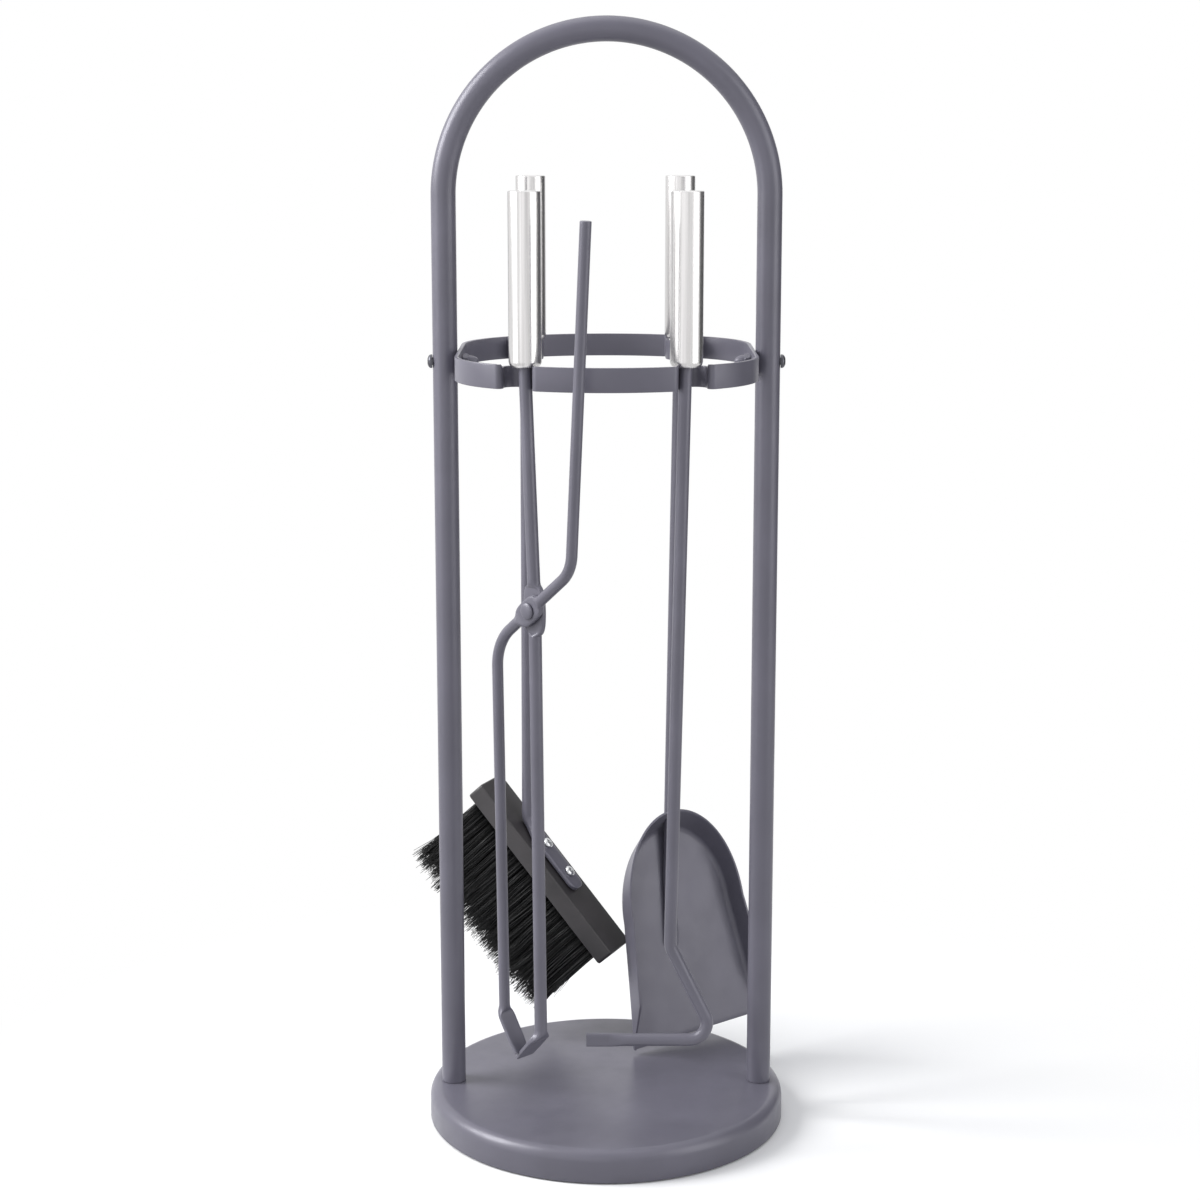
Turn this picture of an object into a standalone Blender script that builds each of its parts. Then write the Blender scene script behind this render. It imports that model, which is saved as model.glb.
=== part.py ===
# Fireplace tool set: hoop stand with a ring rack and four hanging tools.
# Units are metres, +Z is up, the stand faces -Y and rests on Z = 0.
import math

import bmesh
import bpy
import numpy as np
from mathutils import Vector

GAP = 0.0003                    # clearance between neighbouring pieces

# Base
BASE_R = 0.0950
BASE_TOP = 0.0172
SHOULDER_R = 0.0060
SHELL_T = 0.0020
SKIRT_Z = 0.0003
WEIGHT_R = 0.0760
PLATE_R = 0.0926
PAD_R = 0.0924
PAD_T = 0.0020
PLATE_T = 0.0020

# Hoop
HALF_SPAN = 0.0825
TUBE_R = 0.00635
TUBE_BORE = 0.0051
ARCH_Z = 0.4907
FOOT_Z = BASE_TOP + GAP

# Leg fixings
LEG_SCREW_R = 0.0025
LEG_HEAD_R = 0.0046
LEG_HEAD_H = 0.0045
INSERT_H = 0.0200

# Ring rack
RING_R = 0.0905
RING_T = 0.0020
RING_Z0 = 0.4014
RING_Z1 = 0.4133
SLOT_X = {1.0: 0.04125, -1.0: 0.0429}
SLOT_HALF = 0.0081
SLOT_FLOOR = 0.0630
SLOT_NEAR_R = 0.0079
SLOT_FAR_R = 0.0066
SEAT_Z = 0.4118
SEAT_MOUTH = 0.0817
NEAR_BEND_R = 0.0019
FAR_BEND_R = 0.0016
FLAT_BLEND_R = 0.0500
BOLT_Z = 0.5 * (RING_Z0 + RING_Z1)
BOLT_R = 0.0020
BOLT_HEAD_R = 0.0035
BOLT_HEAD_H = 0.0023
NUT_AF = 0.0070
NUT_HEX_H = 0.0032
NUT_DOME_H = 0.0050
NUT_BORE_DEPTH = 0.0058

# Tools
ROD_R = 0.0032
HANDLE_R = 0.0080
FRONT_HANDLE_LEN = 0.0838
REAR_HANDLE_LEN = 0.0868
HANDLE_BORE = ROD_R + GAP
COUNTERBORE_R = 0.0043
COUNTERBORE_H = 0.0120
BUSH_R = COUNTERBORE_R - GAP
BUSH_INSET = 0.0005
REST_Z = SEAT_Z + GAP
ROD_TOP = REST_Z + 0.0570
ROD_SET = REST_Z + 0.0010
ROD_KNEE = REST_Z - 0.0053

# Handle axes in plan
POKER_XY = (0.0382, -0.0740)
TONGS_XY = (-0.0394, -0.0740)
SHOVEL_XY = (0.0397, 0.0740)
BRUSH_XY = (-0.0404, 0.0740)

# Poker, in the plane through its handle parallel to XZ
POKER_KNEE_X = 0.0377
POKER_BEND = (0.0320, 0.1195)
POKER_CORNER = (0.0563, 0.0693)
POKER_END_X = -0.0105
POKER_BEND_R = 0.0120
POKER_CORNER_R = 0.0090
CHISEL_LEN = 0.0160

# Tongs, plane turned about Z through the handle axis
TONGS_TURN = math.radians(46.0)
ARM_OFFSET = 0.0035
FLAT_HALF_T = 0.0016
MAIN_PLATE = (0.0124, 0.0070)
FREE_PLATE = (0.0090, 0.0059)
PIVOT = (0.0060, 0.2938)
MAIN_FOOT = (0.0088, 0.0738)
MAIN_TIP = (-0.0039, 0.0599)
FREE_TOP = (0.0459, 0.4834)
FREE_UPPER = (0.0355, 0.3169)
FREE_LOWER = (-0.0181, 0.2745)
FREE_FOOT = (-0.0147, 0.0820)
FREE_TIP = (-0.0026, 0.0640)
FREE_ROD_R = 0.0028
MAIN_JAW_HALF_W = 0.0050
FREE_JAW_HALF_W = 0.0038
JAW_HALF_T = 0.0011
RIVET_R = 0.0025
RIVET_HEAD_R = 0.0042
RIVET_HEAD_H = 0.0015

# Brush
BRUSH_STEP = (-0.0434, 0.3900)
BRUSH_TURN = math.radians(24.3)
BRUSH_TILT = math.radians(42.3)
BRUSH_CENTRE = (-0.0282, 0.0670, 0.1187)
BLOCK_L = 0.1190
BLOCK_W = 0.0250
BLOCK_T = 0.0110
BLOCK_EDGE = 0.0008
TONGUE_HALF_W = 0.0063
TONGUE_HALF_T = 0.0015
TONGUE_START = -0.0294
TONGUE_END = 0.0192
SCREW_AT = (-0.0112, 0.0087)
SCREW_R = 0.0017
SCREW_HEAD_R = 0.0031
SCREW_HEAD_H = 0.0020
BRISTLE_LEN = 0.0545

# Shovel, floor plane turned about Z, lip swung forward and rolled slightly
PAN_TURN = math.radians(33.2)
PAN_LEAN = math.radians(13.8)
PAN_ROLL = math.radians(3.0)
PAN_LIP = (0.0523, 0.0600, 0.0220)
LIP_HALF = 0.0434
SHOULDER_HALF = 0.0356
SIDE_LEN = 0.0694
ARCH_LEN = 0.0470
WALL_H = 0.0130
SIDE_FLARE = 0.0014
BACK_FLARE = 0.0095
WALL_RISE = 0.0250
LIP_WALL = 0.15
PAN_T = 0.0012
PAN_FILLET = 0.0040
PAN_ROD_TOP = (0.0006, 0.1120, 0.0042)
PAN_ROD_END = (-0.0095, 0.0500)
PAN_SETTLE = (0.22, 0.46)
PAN_FLAT_HALF_W = 0.0045
PAN_FLAT_HALF_T = 0.0018
PAN_RIVET_R = 0.0015
PAN_RIVET_HEAD_R = 0.0028
PAN_RIVET_HEAD_H = 0.0011
PAN_RIVETS = (0.58, 0.84)

Z_AXIS = np.array([0.0, 0.0, 1.0])
MATERIALS = {}


def clear_scene():
    for obj in list(bpy.data.objects):
        bpy.data.objects.remove(obj, do_unlink=True)


def material(name, colour, metallic, roughness):
    if name in MATERIALS:
        return MATERIALS[name]
    mat = bpy.data.materials.new(name)
    mat.use_nodes = True
    shader = mat.node_tree.nodes["Principled BSDF"]
    shader.inputs["Base Color"].default_value = (*colour, 1.0)
    shader.inputs["Metallic"].default_value = metallic
    shader.inputs["Roughness"].default_value = roughness
    MATERIALS[name] = mat
    return mat


def slate():
    return material("slate_paint", (0.135, 0.138, 0.165), 0.25, 0.42)


def stainless():
    return material("stainless", (0.80, 0.78, 0.76), 1.0, 0.24)


def zinc():
    return material("zinc", (0.62, 0.64, 0.66), 1.0, 0.30)


def dark_steel():
    return material("dark_steel", (0.07, 0.07, 0.08), 0.8, 0.40)


def cast_iron():
    return material("cast_iron", (0.06, 0.06, 0.06), 0.6, 0.70)


def black_plastic():
    return material("black_plastic", (0.035, 0.033, 0.036), 0.0, 0.45)


def foam():
    return material("pad_rubber", (0.02, 0.02, 0.02), 0.0, 0.90)


def bristle_fibre():
    return material("bristle_fibre", (0.010, 0.010, 0.009), 0.0, 0.60)


def add_solid(name, verts, faces, mat, origin=(0.0, 0.0, 0.0)):
    # Mesh in coordinates about the given origin, welded, with faces turned outward.
    mesh = bpy.data.meshes.new(name)
    shift = np.asarray(verts, float) - np.asarray(origin, float)
    mesh.from_pydata([tuple(v) for v in shift], [], [tuple(f) for f in faces])
    work = bmesh.new()
    work.from_mesh(mesh)
    bmesh.ops.remove_doubles(work, verts=work.verts, dist=1e-7)
    bmesh.ops.recalc_face_normals(work, faces=work.faces)
    work.to_mesh(mesh)
    work.free()
    mesh.materials.append(mat)
    obj = bpy.data.objects.new(name, mesh)
    obj.location = origin
    bpy.context.scene.collection.objects.link(obj)
    return obj


def frame_for(axis):
    # Two unit vectors square to the axis.
    axis = np.asarray(axis, float)
    axis = axis / np.linalg.norm(axis)
    helper = np.array([1.0, 0.0, 0.0])
    if abs(axis[0]) > 0.8:
        helper = np.array([0.0, 1.0, 0.0])
    side = np.cross(helper, axis)
    side = side / np.linalg.norm(side)
    return side, np.cross(axis, side), axis


def revolve(profile, segs, centre, axis, phase=0.0):
    # Profile points are (radius, height); points on the axis become single poles.
    side, other, up = frame_for(axis)
    centre = np.asarray(centre, float)
    verts = []
    rows = []
    for radius, height in profile:
        if radius < 1e-9:
            rows.append([len(verts)] * segs)
            verts.append(centre + up * height)
            continue
        rows.append(list(range(len(verts), len(verts) + segs)))
        for k in range(segs):
            turn = 2.0 * math.pi * (k + phase) / segs
            spoke = side * math.cos(turn) + other * math.sin(turn)
            verts.append(centre + spoke * radius + up * height)
    faces = []
    for a, b in zip(rows, rows[1:]):
        for k in range(segs):
            n = (k + 1) % segs
            quad = [a[k], a[n], b[n], b[k]]
            face = [v for i, v in enumerate(quad) if v not in quad[:i]]
            if len(face) > 2:
                faces.append(face)
    return verts, faces


def revolve_ring(profile, segs, centre, axis):
    # Closed profile loop that never touches the axis.
    verts, faces = revolve(profile + [profile[0]], segs, centre, axis)
    return verts, faces


def rounded_path(corners, radii, step=math.radians(9.0)):
    # Polyline with each inner corner replaced by an arc of the matching radius.
    pts = [np.asarray(c, float) for c in corners]
    out = [pts[0]]
    for k in range(1, len(pts) - 1):
        radius = radii[k - 1]
        back = pts[k - 1] - pts[k]
        ahead = pts[k + 1] - pts[k]
        back = back / np.linalg.norm(back)
        ahead = ahead / np.linalg.norm(ahead)
        inner = math.acos(float(np.clip(back @ ahead, -1.0, 1.0)))
        turn = math.pi - inner
        if radius <= 0.0 or turn < 1e-4:
            out.append(pts[k])
            continue
        reach = radius * math.tan(turn / 2.0)
        mid = (back + ahead) / np.linalg.norm(back + ahead)
        hub = pts[k] + mid * radius / math.cos(turn / 2.0)
        start = (pts[k] + back * reach) - hub
        end = (pts[k] + ahead * reach) - hub
        count = max(2, int(math.ceil(turn / step)))
        for i in range(count + 1):
            t = i / count
            w0 = math.sin((1.0 - t) * turn) / math.sin(turn)
            w1 = math.sin(t * turn) / math.sin(turn)
            out.append(hub + start * w0 + end * w1)
    out.append(pts[-1])
    clean = [out[0]]
    for p in out[1:]:
        if np.linalg.norm(p - clean[-1]) > 1e-5:
            clean.append(p)
    return np.array(clean)


def refine(path, marks):
    # Adds points at the given distances along the path.
    seg = np.linalg.norm(np.diff(path, axis=0), axis=1)
    dist = np.concatenate([[0.0], np.cumsum(seg)])
    every = dist
    for mark in marks:
        if 0.0 < mark < dist[-1] and np.abs(every - mark).min() > 2e-4:
            every = np.sort(np.append(every, mark))
    cols = [np.interp(every, dist, path[:, k]) for k in range(3)]
    return np.stack(cols, axis=1), every


def sweep(path, normal, half_n, half_b, segs, power=None):
    # Superellipse section: half_n lies along the in-plane normal, half_b across the plane.
    path = np.asarray(path, float)
    normal = np.asarray(normal, float)
    tangent = np.gradient(path, axis=0)
    seg = np.diff(path, axis=0)
    seg = seg / np.linalg.norm(seg, axis=1)[:, None]
    tangent[0] = seg[0]
    tangent[-1] = seg[-1]
    for k in range(1, len(path) - 1):
        tangent[k] = seg[k - 1] + seg[k]
    tangent = tangent / np.linalg.norm(tangent, axis=1)[:, None]
    verts = []
    for k, point in enumerate(path):
        across = normal / np.linalg.norm(normal)
        inplane = np.cross(across, tangent[k])
        inplane = inplane / np.linalg.norm(inplane)
        across = np.cross(tangent[k], inplane)
        exponent = 2.0 if power is None else power[k]
        for i in range(segs):
            a = 2.0 * math.pi * (i + 0.5) / segs
            c = math.cos(a)
            s = math.sin(a)
            x = math.copysign(abs(c) ** (2.0 / exponent), c)
            y = math.copysign(abs(s) ** (2.0 / exponent), s)
            verts.append(point + inplane * x * half_n[k] + across * y * half_b[k])
    faces = []
    rows = len(path)
    for k in range(rows - 1):
        for i in range(segs):
            n = (i + 1) % segs
            a = k * segs
            faces.append([a + i, a + n, a + segs + n, a + segs + i])
    faces.append(list(range(segs)))
    faces.append([(rows - 1) * segs + i for i in range(segs)])
    return verts, faces


def smooth(t):
    t = min(max(t, 0.0), 1.0)
    return t * t * (3.0 - 2.0 * t)


def cutter(name, verts, faces):
    obj = add_solid(name, verts, faces, dark_steel())
    obj.hide_render = True
    obj.display_type = "WIRE"
    return obj


def cut(target, name, verts, faces):
    # Boolean difference applied at once so the node stays one plain mesh.
    tool = cutter(name, verts, faces)
    mod = target.modifiers.new(name, "BOOLEAN")
    mod.operation = "DIFFERENCE"
    mod.solver = "EXACT"
    mod.object = tool
    bake(target)
    bpy.data.objects.remove(tool, do_unlink=True)


def bake(obj):
    bpy.context.view_layer.update()
    graph = bpy.context.evaluated_depsgraph_get()
    mesh = bpy.data.meshes.new_from_object(obj.evaluated_get(graph))
    obj.modifiers.clear()
    obj.data = mesh


def cylinder(radius, start, end, segs=16):
    start = np.asarray(start, float)
    end = np.asarray(end, float)
    length = float(np.linalg.norm(end - start))
    profile = [(0.0, 0.0), (radius, 0.0), (radius, length), (0.0, length)]
    return revolve(profile, segs, start, end - start, 0.31)


# Base

def base_shell():
    flat = BASE_R - SHOULDER_R
    inner_r = SHOULDER_R - SHELL_T
    mid_z = BASE_TOP - SHOULDER_R
    profile = [(0.0, BASE_TOP)]
    for k in range(6):
        a = math.radians(90.0 - 18.0 * k)
        profile.append((flat + SHOULDER_R * math.cos(a), mid_z + SHOULDER_R * math.sin(a)))
    profile.append((BASE_R, SKIRT_Z))
    profile.append((BASE_R - SHELL_T, SKIRT_Z))
    for k in range(4):
        a = math.radians(30.0 * k)
        profile.append((flat + inner_r * math.cos(a), mid_z + inner_r * math.sin(a)))
    profile.append((0.0, BASE_TOP - SHELL_T))
    obj = add_solid("base_shell", *revolve(profile, 64, (0, 0, 0), Z_AXIS), slate())
    for sign in (-1.0, 1.0):
        low = (sign * HALF_SPAN, 0.0, BASE_TOP - 0.006)
        high = (sign * HALF_SPAN, 0.0, BASE_TOP + 0.004)
        cut(obj, "screw_hole", *cylinder(LEG_SCREW_R + GAP, low, high, 12))


def base_weight():
    low = PAD_T + GAP + PLATE_T + GAP
    high = BASE_TOP - SHELL_T - GAP
    edge = 0.0010
    profile = [(0.0, low), (WEIGHT_R - edge, low), (WEIGHT_R, low + edge)]
    profile += [(WEIGHT_R, high - edge), (WEIGHT_R - edge, high), (0.0, high)]
    add_solid("base_weight", *revolve(profile, 40, (0, 0, 0), Z_AXIS), cast_iron())


def base_bottom_plate():
    low = (0.0, 0.0, PAD_T + GAP)
    high = (0.0, 0.0, PAD_T + GAP + PLATE_T)
    add_solid("base_bottom_plate", *cylinder(PLATE_R, low, high, 48), dark_steel())


def base_pad():
    add_solid("base_pad", *cylinder(PAD_R, (0, 0, 0), (0, 0, PAD_T), 48), foam())


# Hoop and its fixings

def hoop_path():
    pts = [(-HALF_SPAN, 0.0, FOOT_Z), (-HALF_SPAN, 0.0, ARCH_Z)]
    count = 34
    for k in range(1, count):
        a = math.pi * (1.0 - k / count)
        pts.append((HALF_SPAN * math.cos(a), 0.0, ARCH_Z + HALF_SPAN * math.sin(a)))
    pts += [(HALF_SPAN, 0.0, ARCH_Z), (HALF_SPAN, 0.0, FOOT_Z)]
    return np.array(pts)


def hoop_tube():
    path = hoop_path()
    segs = 20
    rows = len(path)
    across = (0.0, 1.0, 0.0)
    outer, faces = sweep(path, across, [TUBE_R] * rows, [TUBE_R] * rows, segs)
    inner, _ = sweep(path, across, [TUBE_BORE] * rows, [TUBE_BORE] * rows, segs)
    walls = faces[:-2]
    base = len(outer)
    walls += [[base + i for i in reversed(face)] for face in faces[:-2]]
    for row in (0, rows - 1):
        for i in range(segs):
            n = (i + 1) % segs
            a = row * segs
            walls.append([a + i, a + n, base + a + n, base + a + i])
    obj = add_solid("hoop_tube", list(outer) + list(inner), walls, slate())
    for sign in (-1.0, 1.0):
        near = (sign * (HALF_SPAN - 0.012), 0.0, BOLT_Z)
        far = (sign * (HALF_SPAN + 0.012), 0.0, BOLT_Z)
        cut(obj, "bolt_hole", *cylinder(BOLT_R + GAP, near, far, 12))


def leg_insert(side, sign):
    bore = LEG_SCREW_R + GAP
    outer = TUBE_BORE * math.cos(math.pi / 20.0) - GAP
    edge = 0.0005
    top = INSERT_H
    profile = [(bore, 0.0), (outer - edge, 0.0), (outer, edge)]
    profile += [(outer, top - edge), (outer - edge, top), (bore, top)]
    origin = (sign * HALF_SPAN, 0.0, FOOT_Z)
    add_solid("leg_insert_" + side, *revolve_ring(profile, 16, origin, Z_AXIS), dark_steel())


def leg_screw(side, sign):
    seat = BASE_TOP - SHELL_T - GAP
    tip = FOOT_Z + INSERT_H - 0.0010
    r = LEG_SCREW_R * 0.99
    profile = [(0.0, seat - LEG_HEAD_H), (LEG_HEAD_R - 0.0006, seat - LEG_HEAD_H)]
    profile += [(LEG_HEAD_R, seat - LEG_HEAD_H + 0.0006), (LEG_HEAD_R, seat), (r, seat)]
    profile += [(r, tip - 0.0008), (r - 0.0008, tip), (0.0, tip)]
    centre = (sign * HALF_SPAN, 0.0, 0.0)
    add_solid("leg_screw_" + side, *revolve(profile, 16, centre, Z_AXIS), zinc())


# Ring rack

def slot_corners(side_x, side_y):
    # Centre line of one slot from mouth to mouth, starting at the wall nearer the middle.
    mid_r = RING_R - RING_T / 2.0
    near = SLOT_X[side_x] - SLOT_HALF
    far = SLOT_X[side_x] + SLOT_HALF
    pts = [(near, math.sqrt(mid_r ** 2 - near ** 2)), (near, SLOT_FLOOR)]
    pts += [(far, SLOT_FLOOR), (far, math.sqrt(mid_r ** 2 - far ** 2))]
    return [np.array([side_x * x, side_y * y]) for x, y in pts]


def ring_outline():
    # Closed centre line: circle arcs between slots, and flats beside the legs blended in by wide arcs.
    mid_r = RING_R - RING_T / 2.0
    flat_x = HALF_SPAN - TUBE_R - GAP - RING_T / 2.0
    hub_x = flat_x - FLAT_BLEND_R
    hub_y = math.sqrt((mid_r - FLAT_BLEND_R) ** 2 - hub_x ** 2)
    blend_a = math.atan2(hub_y, hub_x)
    slot_r = [NEAR_BEND_R, SLOT_NEAR_R, SLOT_FAR_R, FAR_BEND_R]
    pts = []
    radii = []

    def arc(hub, radius, a0, a1, first=1, last=0):
        count = max(2, int(math.ceil(abs(a1 - a0) * radius / 0.0085)))
        for k in range(first, count + last):
            a = a0 + (a1 - a0) * k / count
            pts.append(np.array([hub[0] + radius * math.cos(a), hub[1] + radius * math.sin(a)]))
            radii.append(0.0)

    for base, sign in ((0.0, 1.0), (math.pi, -1.0)):
        first = slot_corners(sign, sign)[::-1]
        second = slot_corners(-sign, sign)
        turn = [math.atan2(p[1], p[0]) % (2.0 * math.pi) for p in first + second]
        arc((sign * hub_x, sign * hub_y), FLAT_BLEND_R, base, base + blend_a, 0, 1)
        arc((0.0, 0.0), mid_r, base + blend_a, turn[0])
        for p, radius in zip(first, slot_r[::-1]):
            pts.append(p)
            radii.append(radius)
        arc((0.0, 0.0), mid_r, turn[3], turn[4])
        for p, radius in zip(second, slot_r):
            pts.append(p)
            radii.append(radius)
        arc((0.0, 0.0), mid_r, turn[7], base + math.pi - blend_a)
        arc((-sign * hub_x, sign * hub_y), FLAT_BLEND_R, base + math.pi - blend_a, base + math.pi, 0, 1)
    loop = [pts[-1]] + pts + [pts[0]]
    path = rounded_path(loop, radii, math.radians(24.0))
    return path[1:-1]


def seat_cutter(side_x, side_y):
    # Prism over one slot that lowers its walls to the seat height.
    near = SLOT_X[side_x] - SLOT_HALF - RING_T
    far = SLOT_X[side_x] + SLOT_HALF + RING_T
    low = SLOT_FLOOR - RING_T
    plan = [(near, low), (far, low), (far, SEAT_MOUTH - 0.0097), (far - 0.0052, SEAT_MOUTH - 0.0087)]
    plan += [(near + 0.0040, SEAT_MOUTH), (near, SEAT_MOUTH)]
    verts = []
    for z in (SEAT_Z, RING_Z1 + 0.0020):
        verts += [(side_x * x, side_y * y, z) for x, y in plan]
    count = len(plan)
    faces = [list(range(count)), list(range(count, 2 * count))]
    for k in range(count):
        n = (k + 1) % count
        faces.append([k, n, count + n, count + k])
    return verts, faces


def ring_strip():
    path = ring_outline()
    ahead = np.roll(path, -1, axis=0) - path
    ahead = ahead / np.linalg.norm(ahead, axis=1)[:, None]
    before = np.roll(ahead, 1, axis=0)
    n0 = np.stack([before[:, 1], -before[:, 0]], axis=1)
    n1 = np.stack([ahead[:, 1], -ahead[:, 0]], axis=1)
    mitre = n0 + n1
    mitre = mitre / (1.0 + (n0 * n1).sum(axis=1))[:, None]
    half = RING_T / 2.0
    verts = []
    for sign, z in ((1, RING_Z0), (1, RING_Z1), (-1, RING_Z1), (-1, RING_Z0)):
        for p, m in zip(path, mitre):
            q = p + m * half * sign
            verts.append((q[0], q[1], z))
    count = len(path)
    faces = []
    for ring in range(4):
        a = ring * count
        b = ((ring + 1) % 4) * count
        for i in range(count):
            n = (i + 1) % count
            faces.append([a + i, a + n, b + n, b + i])
    obj = add_solid("ring_strip", verts, faces, slate())
    for sign in (-1.0, 1.0):
        near = (sign * (HALF_SPAN - 0.012), 0.0, BOLT_Z)
        far = (sign * (HALF_SPAN - 0.002), 0.0, BOLT_Z)
        cut(obj, "bolt_hole", *cylinder(BOLT_R + GAP, near, far, 12))
        for side in (-1.0, 1.0):
            cut(obj, "seat", *seat_cutter(sign, side))


def ring_bolt(side, sign):
    seat = HALF_SPAN + TUBE_R + GAP
    tip = HALF_SPAN - TUBE_R - RING_T - GAP - NUT_BORE_DEPTH + 0.0004
    top = seat + BOLT_HEAD_H
    profile = [(0.0, tip), (BOLT_R - 0.0005, tip), (BOLT_R, tip + 0.0005), (BOLT_R, seat)]
    profile += [(BOLT_HEAD_R, seat), (BOLT_HEAD_R, seat + 0.0007)]
    for k in range(1, 4):
        a = math.radians(24.0 * k)
        rise = 0.0007 + (BOLT_HEAD_H - 0.0007) * math.sin(a)
        profile.append((BOLT_HEAD_R * math.cos(a), seat + rise))
    profile.append((0.0, top))
    centre = (0.0, 0.0, BOLT_Z)
    data = revolve(profile, 16, centre, (sign, 0.0, 0.0))
    add_solid("ring_bolt_" + side, *data, dark_steel())


def hex_radius(angle):
    wrapped = (angle + math.pi / 6.0) % (math.pi / 3.0) - math.pi / 6.0
    return NUT_AF / 2.0 / math.cos(wrapped)


def ring_nut(side, sign):
    # Dome nut: hexagon, chamfered into a cap, with a blind bore from the seat.
    segs = 24
    seat = HALF_SPAN - TUBE_R - RING_T - 2.0 * GAP
    bore = BOLT_R + GAP
    cap_r = NUT_AF / 2.0 - 0.0002
    rings = [(bore, 0.0, 0), (0.0, 0.0, 2), (0.0, NUT_HEX_H - 0.0003, 2)]
    rings += [(cap_r, NUT_HEX_H, 0)]
    for k in range(1, 5):
        a = math.radians(18.0 * k)
        rings.append((cap_r * math.cos(a), NUT_HEX_H + NUT_DOME_H * math.sin(a), 0))
    verts = []
    rows = []
    for radius, depth, kind in rings:
        rows.append(list(range(len(verts), len(verts) + segs)))
        for i in range(segs):
            a = 2.0 * math.pi * i / segs
            r = hex_radius(a) if kind == 2 else radius
            verts.append((sign * (seat - depth), r * math.cos(a), BOLT_Z + r * math.sin(a)))
    rows.append([len(verts)] * segs)
    verts.append((sign * (seat - NUT_HEX_H - NUT_DOME_H), 0.0, BOLT_Z))
    deep = list(range(len(verts), len(verts) + segs))
    for i in range(segs):
        a = 2.0 * math.pi * i / segs
        x = sign * (seat - NUT_BORE_DEPTH)
        verts.append((x, bore * math.cos(a), BOLT_Z + bore * math.sin(a)))
    faces = []
    for a, b in list(zip(rows, rows[1:])) + [(rows[0], deep)]:
        for i in range(segs):
            n = (i + 1) % segs
            quad = [a[i], a[n], b[n], b[i]]
            faces.append([v for k, v in enumerate(quad) if v not in quad[:k]])
    faces.append(deep)
    add_solid("ring_nut_" + side, verts, faces, slate())


# Handles

def handle(tool, plan, top):
    r = HANDLE_R
    profile = [(0.0, top), (r - 0.0005, top), (r, top - 0.0005), (r, 0.0030)]
    profile += [(r - 0.0005, 0.0013), (r - 0.0014, 0.0004), (r - 0.0025, 0.0)]
    profile += [(COUNTERBORE_R, 0.0), (COUNTERBORE_R, COUNTERBORE_H)]
    profile += [(HANDLE_BORE, COUNTERBORE_H), (HANDLE_BORE, 0.0600), (0.0, 0.0600)]
    origin = (plan[0], plan[1], REST_Z)
    data = revolve(profile, 24, origin, Z_AXIS)
    add_solid(tool + "_handle", *data, stainless(), origin)


def handle_bush(tool, plan):
    low = BUSH_INSET
    high = COUNTERBORE_H - GAP
    profile = [(HANDLE_BORE, low), (BUSH_R - 0.0003, low), (BUSH_R, low + 0.0003)]
    profile += [(BUSH_R, high), (HANDLE_BORE, high)]
    origin = (plan[0], plan[1], REST_Z)
    data = revolve_ring(profile, 16, origin, Z_AXIS)
    add_solid(tool + "_handle_bush", *data, stainless(), origin)


# Poker

def poker_rod():
    x, y = POKER_XY
    corners = [(x, y, ROD_TOP), (x, y, ROD_SET), (POKER_KNEE_X, y, ROD_KNEE)]
    corners += [(POKER_BEND[0], y, POKER_BEND[1]), (POKER_CORNER[0], y, POKER_CORNER[1])]
    corners.append((POKER_END_X, y, POKER_CORNER[1]))
    path = rounded_path(corners, [0.0, 0.0, POKER_BEND_R, POKER_CORNER_R])
    total = np.linalg.norm(np.diff(path, axis=0), axis=1).sum()
    marks = [total - CHISEL_LEN * k for k in (1.25, 1.0, 0.7, 0.12)]
    path, dist = refine(path, marks)
    half_n = []
    half_b = []
    power = []
    for d in dist:
        t = smooth((d - total + CHISEL_LEN * 1.25) / (CHISEL_LEN * 0.55))
        half_n.append(ROD_R + 0.0003 * t)
        half_b.append(ROD_R - 0.0016 * t)
        power.append(2.0 + 1.6 * t)
    data = sweep(path, (0.0, 1.0, 0.0), half_n, half_b, 12, power)
    origin = (x, y, REST_Z)
    add_solid("poker_rod", *data, slate(), origin)


# Tongs

def tongs_axes():
    g = np.array([math.cos(TONGS_TURN), -math.sin(TONGS_TURN), 0.0])
    m = np.array([-math.sin(TONGS_TURN), -math.cos(TONGS_TURN), 0.0])
    return g, m


def tongs_point(s, z, offset):
    g, m = tongs_axes()
    return np.array([TONGS_XY[0], TONGS_XY[1], z]) + g * s + m * offset


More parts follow.
